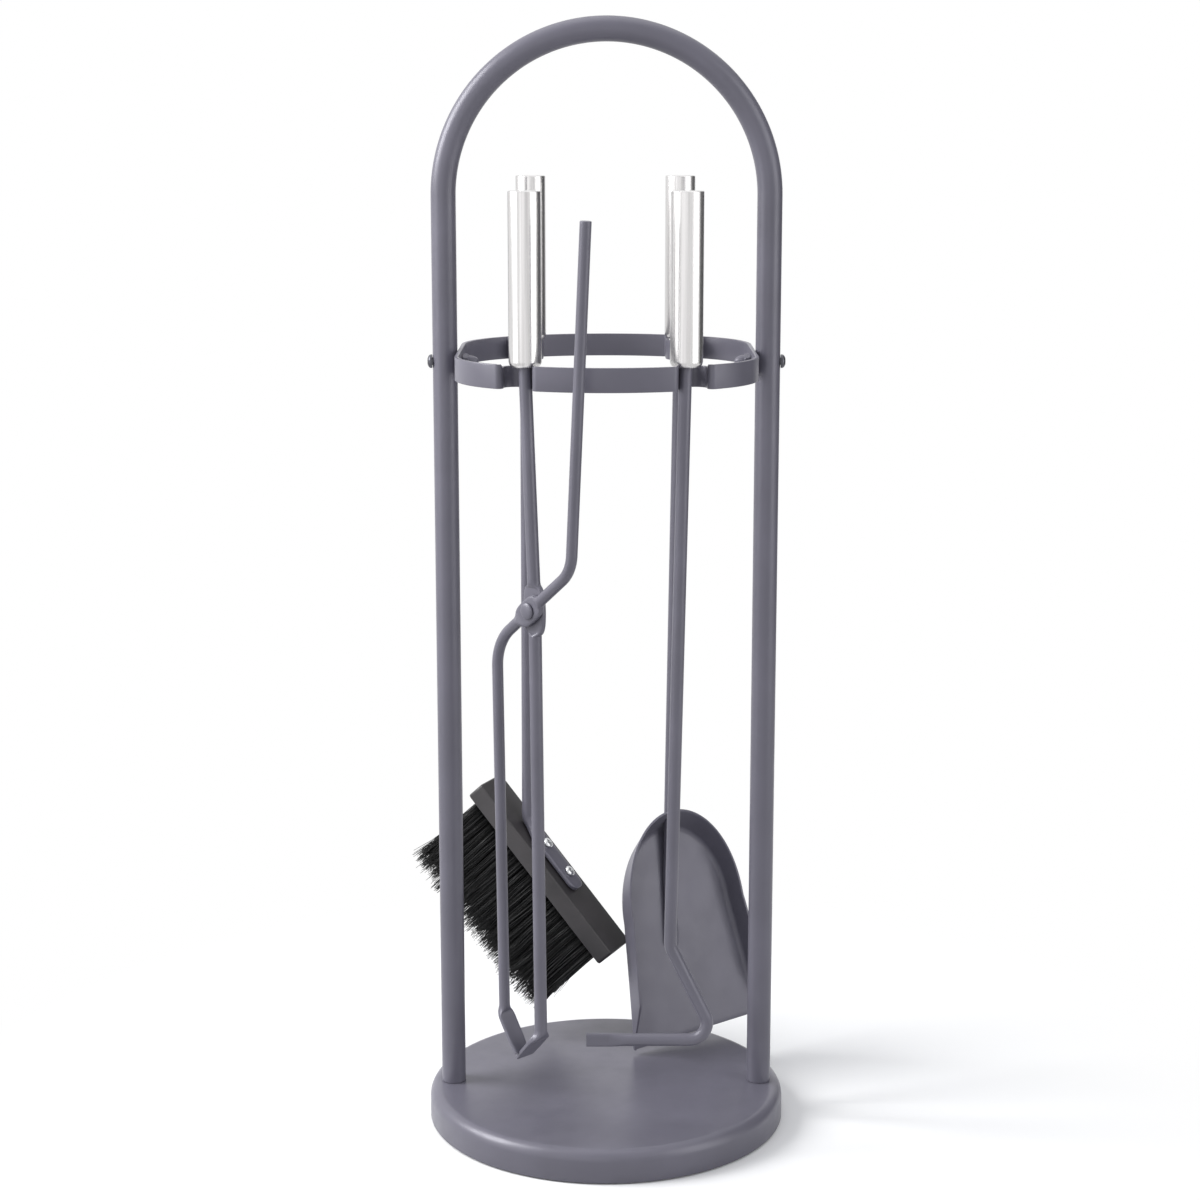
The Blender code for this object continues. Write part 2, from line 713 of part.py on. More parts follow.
def arm_solid(name, corners, radii, offset, plate, rod_r, jaw_half_w, origin):
    # Round rod, pressed into a plate at the pivot and into a jaw below the last bend.
    plate_l, plate_w = plate
    _, m = tongs_axes()
    path = rounded_path([tongs_point(s, z, offset) for s, z in corners], radii)
    total = np.linalg.norm(np.diff(path, axis=0), axis=1).sum()
    pivot = tongs_point(PIVOT[0], PIVOT[1], offset)
    seg = np.diff(path, axis=0)
    dist = np.concatenate([[0.0], np.cumsum(np.linalg.norm(seg, axis=1))])
    at_pivot = 0.0
    best = 1.0
    for k in range(len(seg)):
        length = np.linalg.norm(seg[k])
        t = min(max(float((pivot - path[k]) @ seg[k]) / length ** 2, 0.0), 1.0)
        away = np.linalg.norm(path[k] + seg[k] * t - pivot)
        if away < best:
            best = away
            at_pivot = dist[k] + t * length
    foot = tongs_point(corners[-2][0], corners[-2][1], offset)
    jaw = float(np.linalg.norm(foot - path[-1]))
    spread = [plate_l * share for share in (0.0, 0.32, 0.50, 0.65, 0.79, 0.92, 1.0, 1.08)]
    marks = [at_pivot + s for s in spread] + [at_pivot - s for s in spread]
    marks += [total - jaw - 0.0040, total - jaw + 0.0010, total - jaw + 0.0050, total - 0.0040]
    path, dist = refine(path, marks)
    half_n = []
    half_b = []
    power = []
    for d in dist:
        away = abs(d - at_pivot)
        flat = 1.0 - smooth((away - plate_l * 0.90) / (plate_l * 0.14))
        bulge = math.sqrt(max(1.0 - (min(away, plate_l) / plate_l) ** 3, 0.0))
        bend = smooth((d - total + jaw + 0.0045) / 0.0095)
        n = rod_r + (plate_w - rod_r) * bulge
        b = rod_r + (FLAT_HALF_T - rod_r) * flat
        tip = smooth((d - total + 0.0080) / 0.0080)
        half_n.append(n + (JAW_HALF_T - n) * bend)
        half_b.append(b + (jaw_half_w - 0.0012 * tip - b) * bend)
        power.append(2.0 + 2.5 * flat + 2.0 * bend)
    data = sweep(path, m, half_n, half_b, 12, power)
    obj = add_solid(name, *data, slate(), origin)
    hole_a = pivot + m * 0.010
    hole_b = pivot - m * 0.010
    cut(obj, "rivet_hole", *cylinder(RIVET_R + GAP, hole_a, hole_b, 12))


def tongs_main_arm():
    corners = [(0.0, ROD_TOP), (0.0, ROD_KNEE), PIVOT, MAIN_FOOT, MAIN_TIP]
    origin = (TONGS_XY[0], TONGS_XY[1], REST_Z)
    radii = [0.0, 0.0, 0.0045]
    sizes = (MAIN_PLATE, ROD_R, MAIN_JAW_HALF_W)
    arm_solid("tongs_main_arm", corners, radii, 0.0, *sizes, origin)


def tongs_free_arm():
    corners = [FREE_TOP, FREE_UPPER, FREE_LOWER, FREE_FOOT, FREE_TIP]
    origin = tuple(tongs_point(PIVOT[0], PIVOT[1], ARM_OFFSET))
    radii = [0.0180, 0.0250, 0.0045]
    sizes = (FREE_PLATE, FREE_ROD_R, FREE_JAW_HALF_W)
    arm_solid("tongs_free_arm", corners, radii, ARM_OFFSET, *sizes, origin)


def rivet_profile(r, head_r, head_h, low, high):
    # Shank from low to high with a shallow domed head on each end.
    profile = [(0.0, low - head_h), (head_r * 0.62, low - head_h * 0.86)]
    profile += [(head_r, low - head_h * 0.25), (head_r, low), (r, low), (r, high)]
    profile += [(head_r, high), (head_r, high + head_h * 0.25)]
    profile += [(head_r * 0.62, high + head_h * 0.86), (0.0, high + head_h)]
    return profile


def tongs_rivet():
    _, m = tongs_axes()
    centre = tongs_point(PIVOT[0], PIVOT[1], 0.0)
    low = -FLAT_HALF_T - GAP
    high = ARM_OFFSET + FLAT_HALF_T + GAP
    profile = rivet_profile(RIVET_R, RIVET_HEAD_R, RIVET_HEAD_H, low, high)
    add_solid("tongs_rivet", *revolve(profile, 16, centre, m), slate(), tuple(centre))


# Shovel

def pan_axes():
    flat_u = np.array([math.cos(PAN_TURN), math.sin(PAN_TURN), 0.0])
    flat_n = np.array([math.sin(PAN_TURN), -math.cos(PAN_TURN), 0.0])
    a = Z_AXIS * math.cos(PAN_LEAN) - flat_n * math.sin(PAN_LEAN)
    n = flat_n * math.cos(PAN_LEAN) + Z_AXIS * math.sin(PAN_LEAN)
    c = math.cos(PAN_ROLL)
    s = math.sin(PAN_ROLL)
    return flat_u * c + a * s, a * c - flat_u * s, n


def pan_point(p, q, lift):
    u, a, n = pan_axes()
    return np.array(PAN_LIP) + u * p + a * q + n * lift


def pan_outline():
    # Floor edge from the right lip corner over the arch to the left lip corner.
    right = []
    for k in range(7):
        q = SIDE_LEN * k / 7.0
        p = LIP_HALF + (SHOULDER_HALF - LIP_HALF) * q / SIDE_LEN
        right.append((p, q))
    for k in range(9):
        a = math.pi / 2.0 * k / 8.0
        right.append((SHOULDER_HALF * math.cos(a), SIDE_LEN + ARCH_LEN * math.sin(a)))
    left = [(-p, q) for p, q in reversed(right[:-1])]
    return np.array(right + left)


def pan_section(q, back):
    # Wall profile as (outward, lift) pairs, starting on the flat floor.
    share = min(max(q / WALL_RISE, LIP_WALL), 1.0)
    flare = (SIDE_FLARE + (BACK_FLARE - SIDE_FLARE) * back ** 1.6) * share
    height = WALL_H * share
    length = math.hypot(flare, height)
    rf = min(PAN_FILLET, 0.45 * length)
    wall = np.array([flare, height]) / length
    start = np.array([-rf, 0.0])
    end = wall * rf
    pts = []
    for k in range(4):
        t = k / 3.0
        pts.append(start * (1.0 - t) ** 2 + end * t ** 2)
    pts.append(wall * length)
    return pts


def pan_surface():
    edge = pan_outline()
    slope = np.gradient(edge, axis=0)
    slope[0] = edge[1] - edge[0]
    slope[-1] = edge[-1] - edge[-2]
    out = np.stack([slope[:, 1], -slope[:, 0]], axis=1)
    out = out / np.linalg.norm(out, axis=1)[:, None]
    out[0] = (1.0, 0.0)
    out[-1] = (-1.0, 0.0)
    verts = []
    cols = []
    for (p, q), nrm in zip(edge, out):
        back = max(nrm[1], 0.0)
        sect = pan_section(q, back)
        hub = np.array([0.0, min(q, SIDE_LEN)])
        first = np.array([p, q]) + nrm * sect[0][0]
        col = []
        for t in (0.0, 0.5):
            spot = hub + (first - hub) * t
            col.append(len(verts))
            verts.append(pan_point(spot[0], spot[1], 0.0))
        for d, lift in sect:
            spot = np.array([p, q]) + nrm * d
            col.append(len(verts))
            verts.append(pan_point(spot[0], spot[1], lift))
        cols.append(col)
    faces = []
    for a, b in zip(cols, cols[1:]):
        for k in range(len(a) - 1):
            faces.append([a[k], b[k], b[k + 1], a[k + 1]])
    return verts, faces


def open_surface(name, verts, faces, mat, origin):
    # Welds an open sheet and faces it towards the hollow of the pan.
    mesh = bpy.data.meshes.new(name)
    shift = np.asarray(verts) - np.asarray(origin)
    mesh.from_pydata([tuple(v) for v in shift], [], [tuple(f) for f in faces])
    work = bmesh.new()
    work.from_mesh(mesh)
    bmesh.ops.remove_doubles(work, verts=work.verts, dist=1e-6)
    bmesh.ops.recalc_face_normals(work, faces=work.faces)
    toward = Vector(tuple(pan_axes()[2]))
    total = sum((f.normal * f.calc_area() for f in work.faces), Vector())
    if total.dot(toward) < 0.0:
        bmesh.ops.reverse_faces(work, faces=work.faces)
    work.to_mesh(mesh)
    work.free()
    mesh.materials.append(mat)
    obj = bpy.data.objects.new(name, mesh)
    obj.location = origin
    bpy.context.scene.collection.objects.link(obj)
    return obj


def shovel_origin():
    return (SHOVEL_XY[0], SHOVEL_XY[1], REST_Z)


def pan_rod_point(t, lift):
    top = np.array(PAN_ROD_TOP[:2])
    spot = top + (np.array(PAN_ROD_END) - top) * t
    return pan_point(spot[0], spot[1], lift)


def shovel_pan():
    verts, faces = pan_surface()
    obj = open_surface("shovel_pan", verts, faces, slate(), shovel_origin())
    solid = obj.modifiers.new("sheet", "SOLIDIFY")
    solid.thickness = PAN_T
    solid.offset = -1.0
    solid.use_even_offset = True
    bake(obj)
    knee = pan_point(*PAN_ROD_TOP)
    above = np.array([SHOVEL_XY[0], SHOVEL_XY[1], ROD_KNEE])
    way = (above - knee) / np.linalg.norm(above - knee)
    hole = cylinder(ROD_R + 0.0004, knee + way * 0.0010, knee + way * 0.0240, 16)
    cut(obj, "rod_hole", *hole)
    _, _, n = pan_axes()
    for t in PAN_RIVETS:
        low = pan_rod_point(t, -0.004)
        high = pan_rod_point(t, 0.004)
        cut(obj, "rivet_hole", *cylinder(PAN_RIVET_R + GAP, low, high, 12))


def shovel_rod():
    # Round down to the pan, then pressed flat step by step so it stays just off the floor.
    x, y = SHOVEL_XY
    stem = [(x, y, ROD_TOP), (x, y, ROD_KNEE), pan_point(*PAN_ROD_TOP)]
    stem.append(pan_rod_point(PAN_SETTLE[0], ROD_R + GAP))
    path = list(rounded_path(stem, [0.0, 0.0140]))
    width = [ROD_R] * len(path)
    depth = [ROD_R] * len(path)
    power = [2.0] * len(path)
    for k in range(1, 6):
        t = PAN_SETTLE[0] + (PAN_SETTLE[1] - PAN_SETTLE[0]) * k / 5.0
        flat = smooth(k / 5.0)
        width.append(ROD_R + (PAN_FLAT_HALF_W - ROD_R) * flat)
        depth.append(ROD_R + (PAN_FLAT_HALF_T - ROD_R) * flat)
        power.append(2.0 + 2.0 * flat)
        path.append(pan_rod_point(t, depth[-1] + GAP))
    for t, share in ((0.92, 1.0), (0.97, 0.86), (1.0, 0.55)):
        width.append(PAN_FLAT_HALF_W * share)
        depth.append(PAN_FLAT_HALF_T)
        power.append(4.0)
        path.append(pan_rod_point(t, PAN_FLAT_HALF_T + GAP))
    _, _, n = pan_axes()
    across = np.cross(n, path[-1] - path[-4])
    data = sweep(np.array(path), across, depth, width, 12, power)
    obj = add_solid("shovel_rod", *data, slate(), shovel_origin())
    for t in PAN_RIVETS:
        low = pan_rod_point(t, -0.004)
        high = pan_rod_point(t, 0.008)
        cut(obj, "rivet_hole", *cylinder(PAN_RIVET_R + GAP, low, high, 12))


def shovel_rivet(label, t):
    _, _, n = pan_axes()
    low = -PAN_T - GAP
    high = 2.0 * PAN_FLAT_HALF_T + 2.0 * GAP
    profile = rivet_profile(PAN_RIVET_R, PAN_RIVET_HEAD_R, PAN_RIVET_HEAD_H, low, high)
    centre = pan_rod_point(t, 0.0)
    data = revolve(profile, 14, centre, n)
    add_solid("shovel_rivet_" + label, *data, slate(), shovel_origin())


# Brush

def brush_axes():
    # Along the block, across the block, and out of its back face.
    cf = math.cos(BRUSH_TURN)
    sf = math.sin(BRUSH_TURN)
    u = np.array([cf, -sf, 0.0])
    w = np.array([sf, cf, 0.0])
    a = u * math.sin(BRUSH_TILT) - Z_AXIS * math.cos(BRUSH_TILT)
    t = u * math.cos(BRUSH_TILT) + Z_AXIS * math.sin(BRUSH_TILT)
    return a, w, t


def brush_point(along, across, lift):
    a, w, t = brush_axes()
    return np.array(BRUSH_CENTRE) + a * along + w * across + t * lift


def brush_origin():
    return (BRUSH_XY[0], BRUSH_XY[1], REST_Z)


def rounded_rect(half_a, half_w, radius, per_corner):
    pts = []
    for cx, cy, start in ((1, 1, 0), (-1, 1, 90), (-1, -1, 180), (1, -1, 270)):
        for k in range(per_corner + 1):
            a = math.radians(start + 90.0 * k / per_corner)
            x = cx * (half_a - radius) + radius * math.cos(a)
            y = cy * (half_w - radius) + radius * math.sin(a)
            pts.append((x, y))
    return pts


def loft_blocks(levels):
    # Stacked loops of equal length, closed with a cap at both ends.
    verts = []
    count = len(levels[0])
    for loop in levels:
        verts += loop
    faces = [list(range(count))]
    for k in range(len(levels) - 1):
        a = k * count
        for i in range(count):
            n = (i + 1) % count
            faces.append([a + i, a + n, a + count + n, a + count + i])
    faces.append([(len(levels) - 1) * count + i for i in range(count)])
    return verts, faces


def brush_block():
    levels = []
    e = BLOCK_EDGE
    for lift, inset in ((0.0, e), (-e, 0.0), (-BLOCK_T + e, 0.0), (-BLOCK_T, e)):
        loop = rounded_rect(BLOCK_L / 2.0 - inset, BLOCK_W / 2.0 - inset, 0.0015, 2)
        levels.append([brush_point(x, y, lift) for x, y in loop])
    obj = add_solid("brush_block", *loft_blocks(levels), black_plastic(), brush_origin())
    for along in SCREW_AT:
        low = brush_point(along, 0.0, -0.0085)
        high = brush_point(along, 0.0, 0.0030)
        cut(obj, "pilot_hole", *cylinder(SCREW_R + GAP, low, high, 12))


def brush_bristles():
    # Envelope of the bristle pack, slightly fanned and rounded at the tips.
    top = -BLOCK_T - GAP
    table = ((0.0, 0.0530, 0.0102, 0.0), (0.35, 0.0535, 0.0115, 0.0),
             (0.75, 0.0542, 0.0135, 0.0), (1.0, 0.0545, 0.0142, 1.0))
    levels = []
    for t, half_a, half_w, crown in table:
        loop = []
        for x, y in rounded_rect(half_a, half_w, 0.0050, 2):
            bulge = 0.0045 * crown * (1.0 - (x / half_a) ** 2)
            lift = top - BRISTLE_LEN * t + 0.0030 * crown - bulge
            loop.append(brush_point(x + 0.0015 * t, y, lift))
        levels.append(loop)
    cap = []
    for x, y in rounded_rect(0.0480, 0.0080, 0.0040, 2):
        bulge = 0.0045 * (1.0 - (x / 0.0545) ** 2)
        cap.append(brush_point(x + 0.0015, y, top - BRISTLE_LEN - bulge + 0.0012))
    levels.append(cap)
    data = loft_blocks(levels)
    add_solid("brush_bristles", *data, bristle_fibre(), brush_origin())


def brush_rod():
    x, y = BRUSH_XY
    low_lift = GAP + TONGUE_HALF_T
    knee = brush_point(TONGUE_START, 0.0, ROD_R + GAP)
    settle = brush_point(TONGUE_START + 0.0110, 0.0, low_lift)
    end = brush_point(TONGUE_END, 0.0, low_lift)
    step = (BRUSH_STEP[0], y, BRUSH_STEP[1])
    corners = [(x, y, ROD_TOP), (x, y, ROD_KNEE), step, knee, settle, end]
    path = rounded_path(corners, [0.0060, 0.0060, 0.0060, 0.0150])
    total = np.linalg.norm(np.diff(path, axis=0), axis=1).sum()
    tail = float(np.linalg.norm(end - settle))
    marks = [total - tail - 0.0080, total - tail - 0.0030, total - tail + 0.0020]
    marks += [total - 0.0050, total - 0.0022, total - 0.0008]
    path, dist = refine(path, marks)
    half_n = []
    half_b = []
    power = []
    for d in dist:
        flat = smooth((d - total + tail + 0.0090) / 0.0110)
        close = min(max((d - total + 0.0050) / 0.0050, 0.0), 1.0)
        width = ROD_R + (TONGUE_HALF_W - ROD_R) * flat
        half_b.append(width * math.sqrt(max(1.0 - 0.72 * close ** 2, 0.05)))
        half_n.append(ROD_R + (TONGUE_HALF_T - ROD_R) * flat)
        power.append(2.0 + 2.5 * flat)
    _, w, _ = brush_axes()
    data = sweep(path, w, half_n, half_b, 12, power)
    obj = add_solid("brush_rod", *data, slate(), brush_origin())
    for along in SCREW_AT:
        low = brush_point(along, 0.0, -0.0030)
        high = brush_point(along, 0.0, 0.0080)
        cut(obj, "screw_hole", *cylinder(SCREW_R + GAP, low, high, 12))


def box_along(centre, axes, halves):
    verts = []
    for i in (-1, 1):
        for j in (-1, 1):
            for k in (-1, 1):
                move = axes[0] * halves[0] * i + axes[1] * halves[1] * j + axes[2] * halves[2] * k
                verts.append(np.asarray(centre) + move)
    faces = [[0, 1, 3, 2], [4, 6, 7, 5], [0, 4, 5, 1], [2, 3, 7, 6], [0, 2, 6, 4], [1, 5, 7, 3]]
    return verts, faces


def brush_screw(label, along):
    a, w, t = brush_axes()
    seat = 2.0 * GAP + 2.0 * TONGUE_HALF_T
    tip = -0.0080
    r = SCREW_R
    profile = [(0.0, tip), (r - 0.0012, tip + 0.0006), (r, tip + 0.0022), (r, seat)]
    profile += [(SCREW_HEAD_R, seat), (SCREW_HEAD_R, seat + 0.0006)]
    for k in range(1, 4):
        ang = math.radians(23.0 * k)
        rise = 0.0006 + (SCREW_HEAD_H - 0.0006) * math.sin(ang)
        profile.append((SCREW_HEAD_R * math.cos(ang), seat + rise))
    profile.append((0.0, seat + SCREW_HEAD_H))
    centre = brush_point(along, 0.0, 0.0)
    data = revolve(profile, 16, centre, t)
    obj = add_solid("brush_screw_" + label, *data, zinc(), brush_origin())
    turn = math.radians(20.0)
    d0 = a * math.cos(turn) + w * math.sin(turn)
    d1 = w * math.cos(turn) - a * math.sin(turn)
    top = brush_point(along, 0.0, seat + SCREW_HEAD_H)
    cut(obj, "drive_a", *box_along(top, (d0, d1, t), (0.0017, 0.00035, 0.0010)))
    cut(obj, "drive_b", *box_along(top, (d1, d0, t), (0.0017, 0.00035, 0.0010)))


def build():
    clear_scene()
    base_shell()
    base_weight()
    base_bottom_plate()
    base_pad()
    hoop_tube()
    for side, sign in (("left", -1.0), ("right", 1.0)):
        leg_insert(side, sign)
        leg_screw(side, sign)
        ring_bolt(side, sign)
        ring_nut(side, sign)
    ring_strip()
    tools = (("poker", POKER_XY), ("tongs", TONGS_XY))
    tools += (("shovel", SHOVEL_XY), ("brush", BRUSH_XY))
    for tool, plan in tools:
        front = plan[1] < 0.0
        handle(tool, plan, FRONT_HANDLE_LEN if front else REAR_HANDLE_LEN)
        handle_bush(tool, plan)
    poker_rod()
    tongs_main_arm()
    tongs_free_arm()
    tongs_rivet()
    shovel_pan()
    shovel_rod()
    for label, t in zip(("upper", "lower"), PAN_RIVETS):
        shovel_rivet(label, t)
    brush_rod()
    brush_block()
    brush_bristles()
    for label, along in zip(("upper", "lower"), SCREW_AT):
        brush_screw(label, along)


build()
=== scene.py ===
import math

import bmesh
import bpy
import numpy as np
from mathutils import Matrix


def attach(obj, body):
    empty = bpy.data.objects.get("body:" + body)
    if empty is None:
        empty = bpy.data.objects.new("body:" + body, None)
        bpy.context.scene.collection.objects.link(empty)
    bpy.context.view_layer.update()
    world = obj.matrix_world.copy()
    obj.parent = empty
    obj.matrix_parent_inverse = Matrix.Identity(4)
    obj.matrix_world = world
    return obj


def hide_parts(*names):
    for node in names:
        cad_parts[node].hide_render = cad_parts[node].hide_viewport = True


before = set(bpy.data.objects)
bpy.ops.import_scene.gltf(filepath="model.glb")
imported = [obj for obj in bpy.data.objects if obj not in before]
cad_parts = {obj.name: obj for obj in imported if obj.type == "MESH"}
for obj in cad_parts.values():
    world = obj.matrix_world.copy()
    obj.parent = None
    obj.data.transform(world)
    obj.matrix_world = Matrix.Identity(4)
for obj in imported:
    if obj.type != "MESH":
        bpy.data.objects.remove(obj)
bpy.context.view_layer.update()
print("stage 1: frame loaded,", len(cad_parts), "nodes")

gap = 0.0003                    # clearance between neighbouring pieces
rodRadius = 0.0032
tubeRadius = 0.00635
halfSpan = 0.0825               # hoop centre line to the middle of the stand
seatHeight = 0.4121             # underside of every hanging handle
rodTop = seatHeight + 0.0570
rodSet = seatHeight + 0.0010
rodKnee = seatHeight - 0.0053
endRound = 0.0005               # rounding at the ends of the rods
endRows = 6                     # rows of mesh over one rounded end
tiny = 1e-6                     # lengths below this count as none
poleRadius = 0.0002             # small flat left at the axis of a turned piece
finePole = 0.0001               # the same on screws, bolts and nuts
upward = np.array([0.0, 0.0, 1.0])


def unit(v):
    # each row divided by its own length
    v = np.asarray(v, float)
    return v / np.linalg.norm(v, axis=-1, keepdims=True)


def smooth(t):
    # cubic ease 3t^2 - 2t^3 held between 0 and 1
    t = np.clip(t, 0.0, 1.0)
    return t * t * (3.0 - 2.0 * t)


def gridQuads(rows, cols, wrapRows, wrapCols):
    # quad (r, c), (r, c+1), (r+1, c+1), (r+1, c), wrapping round where asked
    r, c = np.meshgrid(np.arange(rows - (not wrapRows)), np.arange(cols - (not wrapCols)), indexing="ij")
    nextRow = (r + 1) % rows
    nextCol = (c + 1) % cols
    quads = [r * cols + c, r * cols + nextCol, nextRow * cols + nextCol, nextRow * cols + c]
    return np.stack(quads, axis=-1).reshape(-1, 4)


def closedGrid(points, loop=False):
    # closed loops stacked in rows; first and last loop become caps unless the rows join up
    rows, cols = points.shape[:2]
    caps = [] if loop else [np.arange(cols)[::-1], (rows - 1) * cols + np.arange(cols)]
    return points.reshape(-1, 3), gridQuads(rows, cols, loop, True), caps


def makePiece(name, surface, finish, body, node, sharp=32.0):
    # mesh from whole arrays; the sign of the sum of a . (b x c) over the fans tells inside from outside
    points, quads, caps = surface
    origin = quads[:, 0]
    fans = [np.stack([origin, quads[:, k], quads[:, k + 1]], axis=1) for k in (1, 2)]
    fans += [np.stack([np.full(len(c) - 2, c[0]), c[1:-1], c[2:]], axis=1) for c in caps]
    a, b, c = points[np.concatenate(fans)].transpose(1, 0, 2)
    step = 1 if (a * np.cross(b, c)).sum() > 0.0 else -1
    corners = np.concatenate([quads[:, ::step].ravel()] + [cap[::step] for cap in caps])
    sizes = np.concatenate([np.full(len(quads), 4), [len(cap) for cap in caps]]).astype(int)
    mesh = bpy.data.meshes.new(name)
    mesh.vertices.add(len(points))
    mesh.vertices.foreach_set("co", points.ravel())
    mesh.loops.add(len(corners))
    mesh.loops.foreach_set("vertex_index", corners.astype(np.int32))
    mesh.polygons.add(len(sizes))
    mesh.polygons.foreach_set("loop_start", (np.cumsum(sizes) - sizes).astype(np.int32))
    mesh.update(calc_edges=True)
    mesh.validate()
    return settle(name, mesh, finish, body, node, sharp)


def settle(name, mesh, finish, body, node, sharp):
    # smooth faces with hard edges above the given angle, then hooked to its body, with the CAD node it stands
    # for hidden
    mesh.shade_smooth()
    mesh.set_sharp_from_angle(angle=math.radians(sharp))
    mesh.materials.append(finish[0])
    obj = bpy.data.objects.new(name, mesh)
    bpy.context.scene.collection.objects.link(obj)
    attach(obj, body)
    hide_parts(node)
    return obj


def filleted(corners, radii, step=3.0):
    # every inner corner swapped for a tangent arc: hub + blend of its two end spokes by sines of the angle
    pts = [np.asarray(c, float) for c in corners]
    out = [pts[0][None]]
    for before, at, after, radius in zip(pts[:-2], pts[1:-1], pts[2:], radii):
        back = unit(before - at)
        ahead = unit(after - at)
        turn = math.pi - math.acos(float(np.clip(back @ ahead, -1.0, 1.0)))
        if radius <= 0.0 or turn < 1e-4:
            out.append(at[None])
            continue
        reach = radius * math.tan(turn / 2.0)
        hub = at + unit(back + ahead) * radius / math.cos(turn / 2.0)
        t = np.linspace(0.0, 1.0, max(3, math.ceil(math.degrees(turn) / step) + 1))[:, None]
        first = (at + back * reach - hub) * np.sin((1.0 - t) * turn)
        last = (at + ahead * reach - hub) * np.sin(t * turn)
        out.append(hub + (first + last) / math.sin(turn))
    out.append(pts[-1][None])
    path = np.concatenate(out)
    keep = np.concatenate([[True], np.linalg.norm(np.diff(path, axis=0), axis=1) > tiny])
    return path[keep]


def spaced(path, every=0.0025, tail=0.0):
    # rows along the path: its own points, even steps, finer steps over a tail,
    # and cosine steps at the rounded ends
    leg = np.linalg.norm(np.diff(path, axis=0), axis=1)
    dist = np.concatenate([[0.0], np.cumsum(leg)])
    total = dist[-1]
    near = endRound * (1.0 - np.cos(np.linspace(0.0, math.pi / 2.0, endRows)))
    even = np.linspace(endRound, total - endRound, int(total / every) + 2)
    fine = total - np.arange(endRound, tail, endRound)
    mid = dist[(dist > endRound) & (dist < total - endRound)]
    d = np.unique(np.concatenate([near, even, fine, mid, total - near]))
    keep = np.concatenate([[True], np.diff(d) > 4.0 * tiny])
    d = d[keep]
    spots = np.stack([np.interp(d, dist, path[:, k]) for k in range(path.shape[1])], axis=1)
    return spots, d, total


def rounding(d, total):
    # how far a section draws in near an end: r * (1 - sqrt(1 - t^2)), t from 0 to 1 over the last r
    t = np.clip(1.0 - np.minimum(d, total - d) / endRound, 0.0, 1.0)
    return endRound * (1.0 - np.sqrt(1.0 - t * t))


def carried(path, flatAxis, halfIn, halfAcross, power, segs=40):
    # superellipse |x/a|^n + |y/b|^n = 1 carried along the path, y staying near the flat axis
    step = unit(np.diff(path, axis=0))
    tangent = np.vstack([step[:1], unit(step[:-1] + step[1:]), step[-1:]])
    inPlane = unit(np.cross(flatAxis, tangent))
    across = np.cross(tangent, inPlane)
    turn = 2.0 * math.pi * (np.arange(segs) + 0.5) / segs
    share = (2.0 / (np.zeros(len(path)) + power))[:, None]
    x = np.sign(np.cos(turn)) * np.abs(np.cos(turn)) ** share * np.reshape(halfIn, (-1, 1))
    y = np.sign(np.sin(turn)) * np.abs(np.sin(turn)) ** share * np.reshape(halfAcross, (-1, 1))
    return path[:, None] + inPlane[:, None] * x[..., None] + across[:, None] * y[..., None]


def turned(profile, segs, centre=(0.0, 0.0, 0.0), axis=(0.0, 0.0, 1.0), loop=False, phase=0.0,
           spread=None):
    # centre + axis * height + radius * (side cos a + other sin a);
    # spread may swell or cut the radius by angle
    profile = np.asarray(profile, float)
    up = unit(axis)
    helper = (0.0, 1.0, 0.0) if abs(up[0]) > 0.8 else (1.0, 0.0, 0.0)
    side = unit(np.cross(helper, up))
    a = 2.0 * math.pi * np.arange(segs) / segs
    spoke = np.cos(a + phase)[:, None] * side + np.sin(a + phase)[:, None] * np.cross(up, side)
    radius = profile[:, 0, None] * np.ones(segs)
    if spread is not None:
        radius = spread(radius, profile[:, 1, None], a)
    points = np.asarray(centre, float) + profile[:, 1, None, None] * up + radius[..., None] * spoke
    return closedGrid(points, loop)


def arcPoints(centre, radius, start, end, count):
    # points centre + radius (cos a, sin a) from start to end in degrees
    a = np.radians(np.linspace(start, end, count))
    return np.stack([centre[0] + radius * np.cos(a), centre[1] + radius * np.sin(a)], axis=1)


def roundedRect(halfA, halfB, radius, perCorner):
    # a quarter arc about each corner's centre, joined into one loop, counter-clockwise
    hubs = np.array([[1.0, 1.0], [-1.0, 1.0], [-1.0, -1.0], [1.0, -1.0]]) * [halfA - radius, halfB - radius]
    arcs = [arcPoints(hub, radius, 90.0 * k, 90.0 * k + 90.0, perCorner) for k, hub in enumerate(hubs)]
    return np.concatenate(arcs)


noiseSpan = (0.3, 0.7)          # stretch of a noise value that a finish spreads over its range


def addNode(tree, kind, inputs):
    # node with its inputs filled: a socket is linked in, anything else is a plain value
    node = tree.nodes.new("ShaderNode" + kind)
    for key, value in inputs.items():
        if isinstance(value, bpy.types.NodeSocket):
            tree.links.new(value, node.inputs[key])
        else:
            node.inputs[key].default_value = value
    return node


def newFinish(name, colour, metallic, roughness):
    # a Principled shader with its plain values set, and object coordinates ready for textures
    mat = bpy.data.materials.new(name)
    mat.use_nodes = True
    shader = mat.node_tree.nodes["Principled BSDF"]
    shader.inputs["Base Color"].default_value = (*colour, 1.0)
    shader.inputs["Metallic"].default_value = metallic
    shader.inputs["Roughness"].default_value = roughness
    return mat, shader, addNode(mat.node_tree, "TexCoord", {}).outputs["Object"]


def addNoise(mat, coords, scale, stretch=(1.0, 1.0, 1.0), detail=3.0, rough=0.5):
    # fractal noise on stretched object coordinates
    placed = addNode(mat.node_tree, "Mapping", dict(Vector=coords, Scale=stretch)).outputs["Vector"]
    values = dict(Vector=placed, Scale=scale, Detail=detail, Roughness=rough)
    return addNode(mat.node_tree, "TexNoise", values).outputs["Fac"]


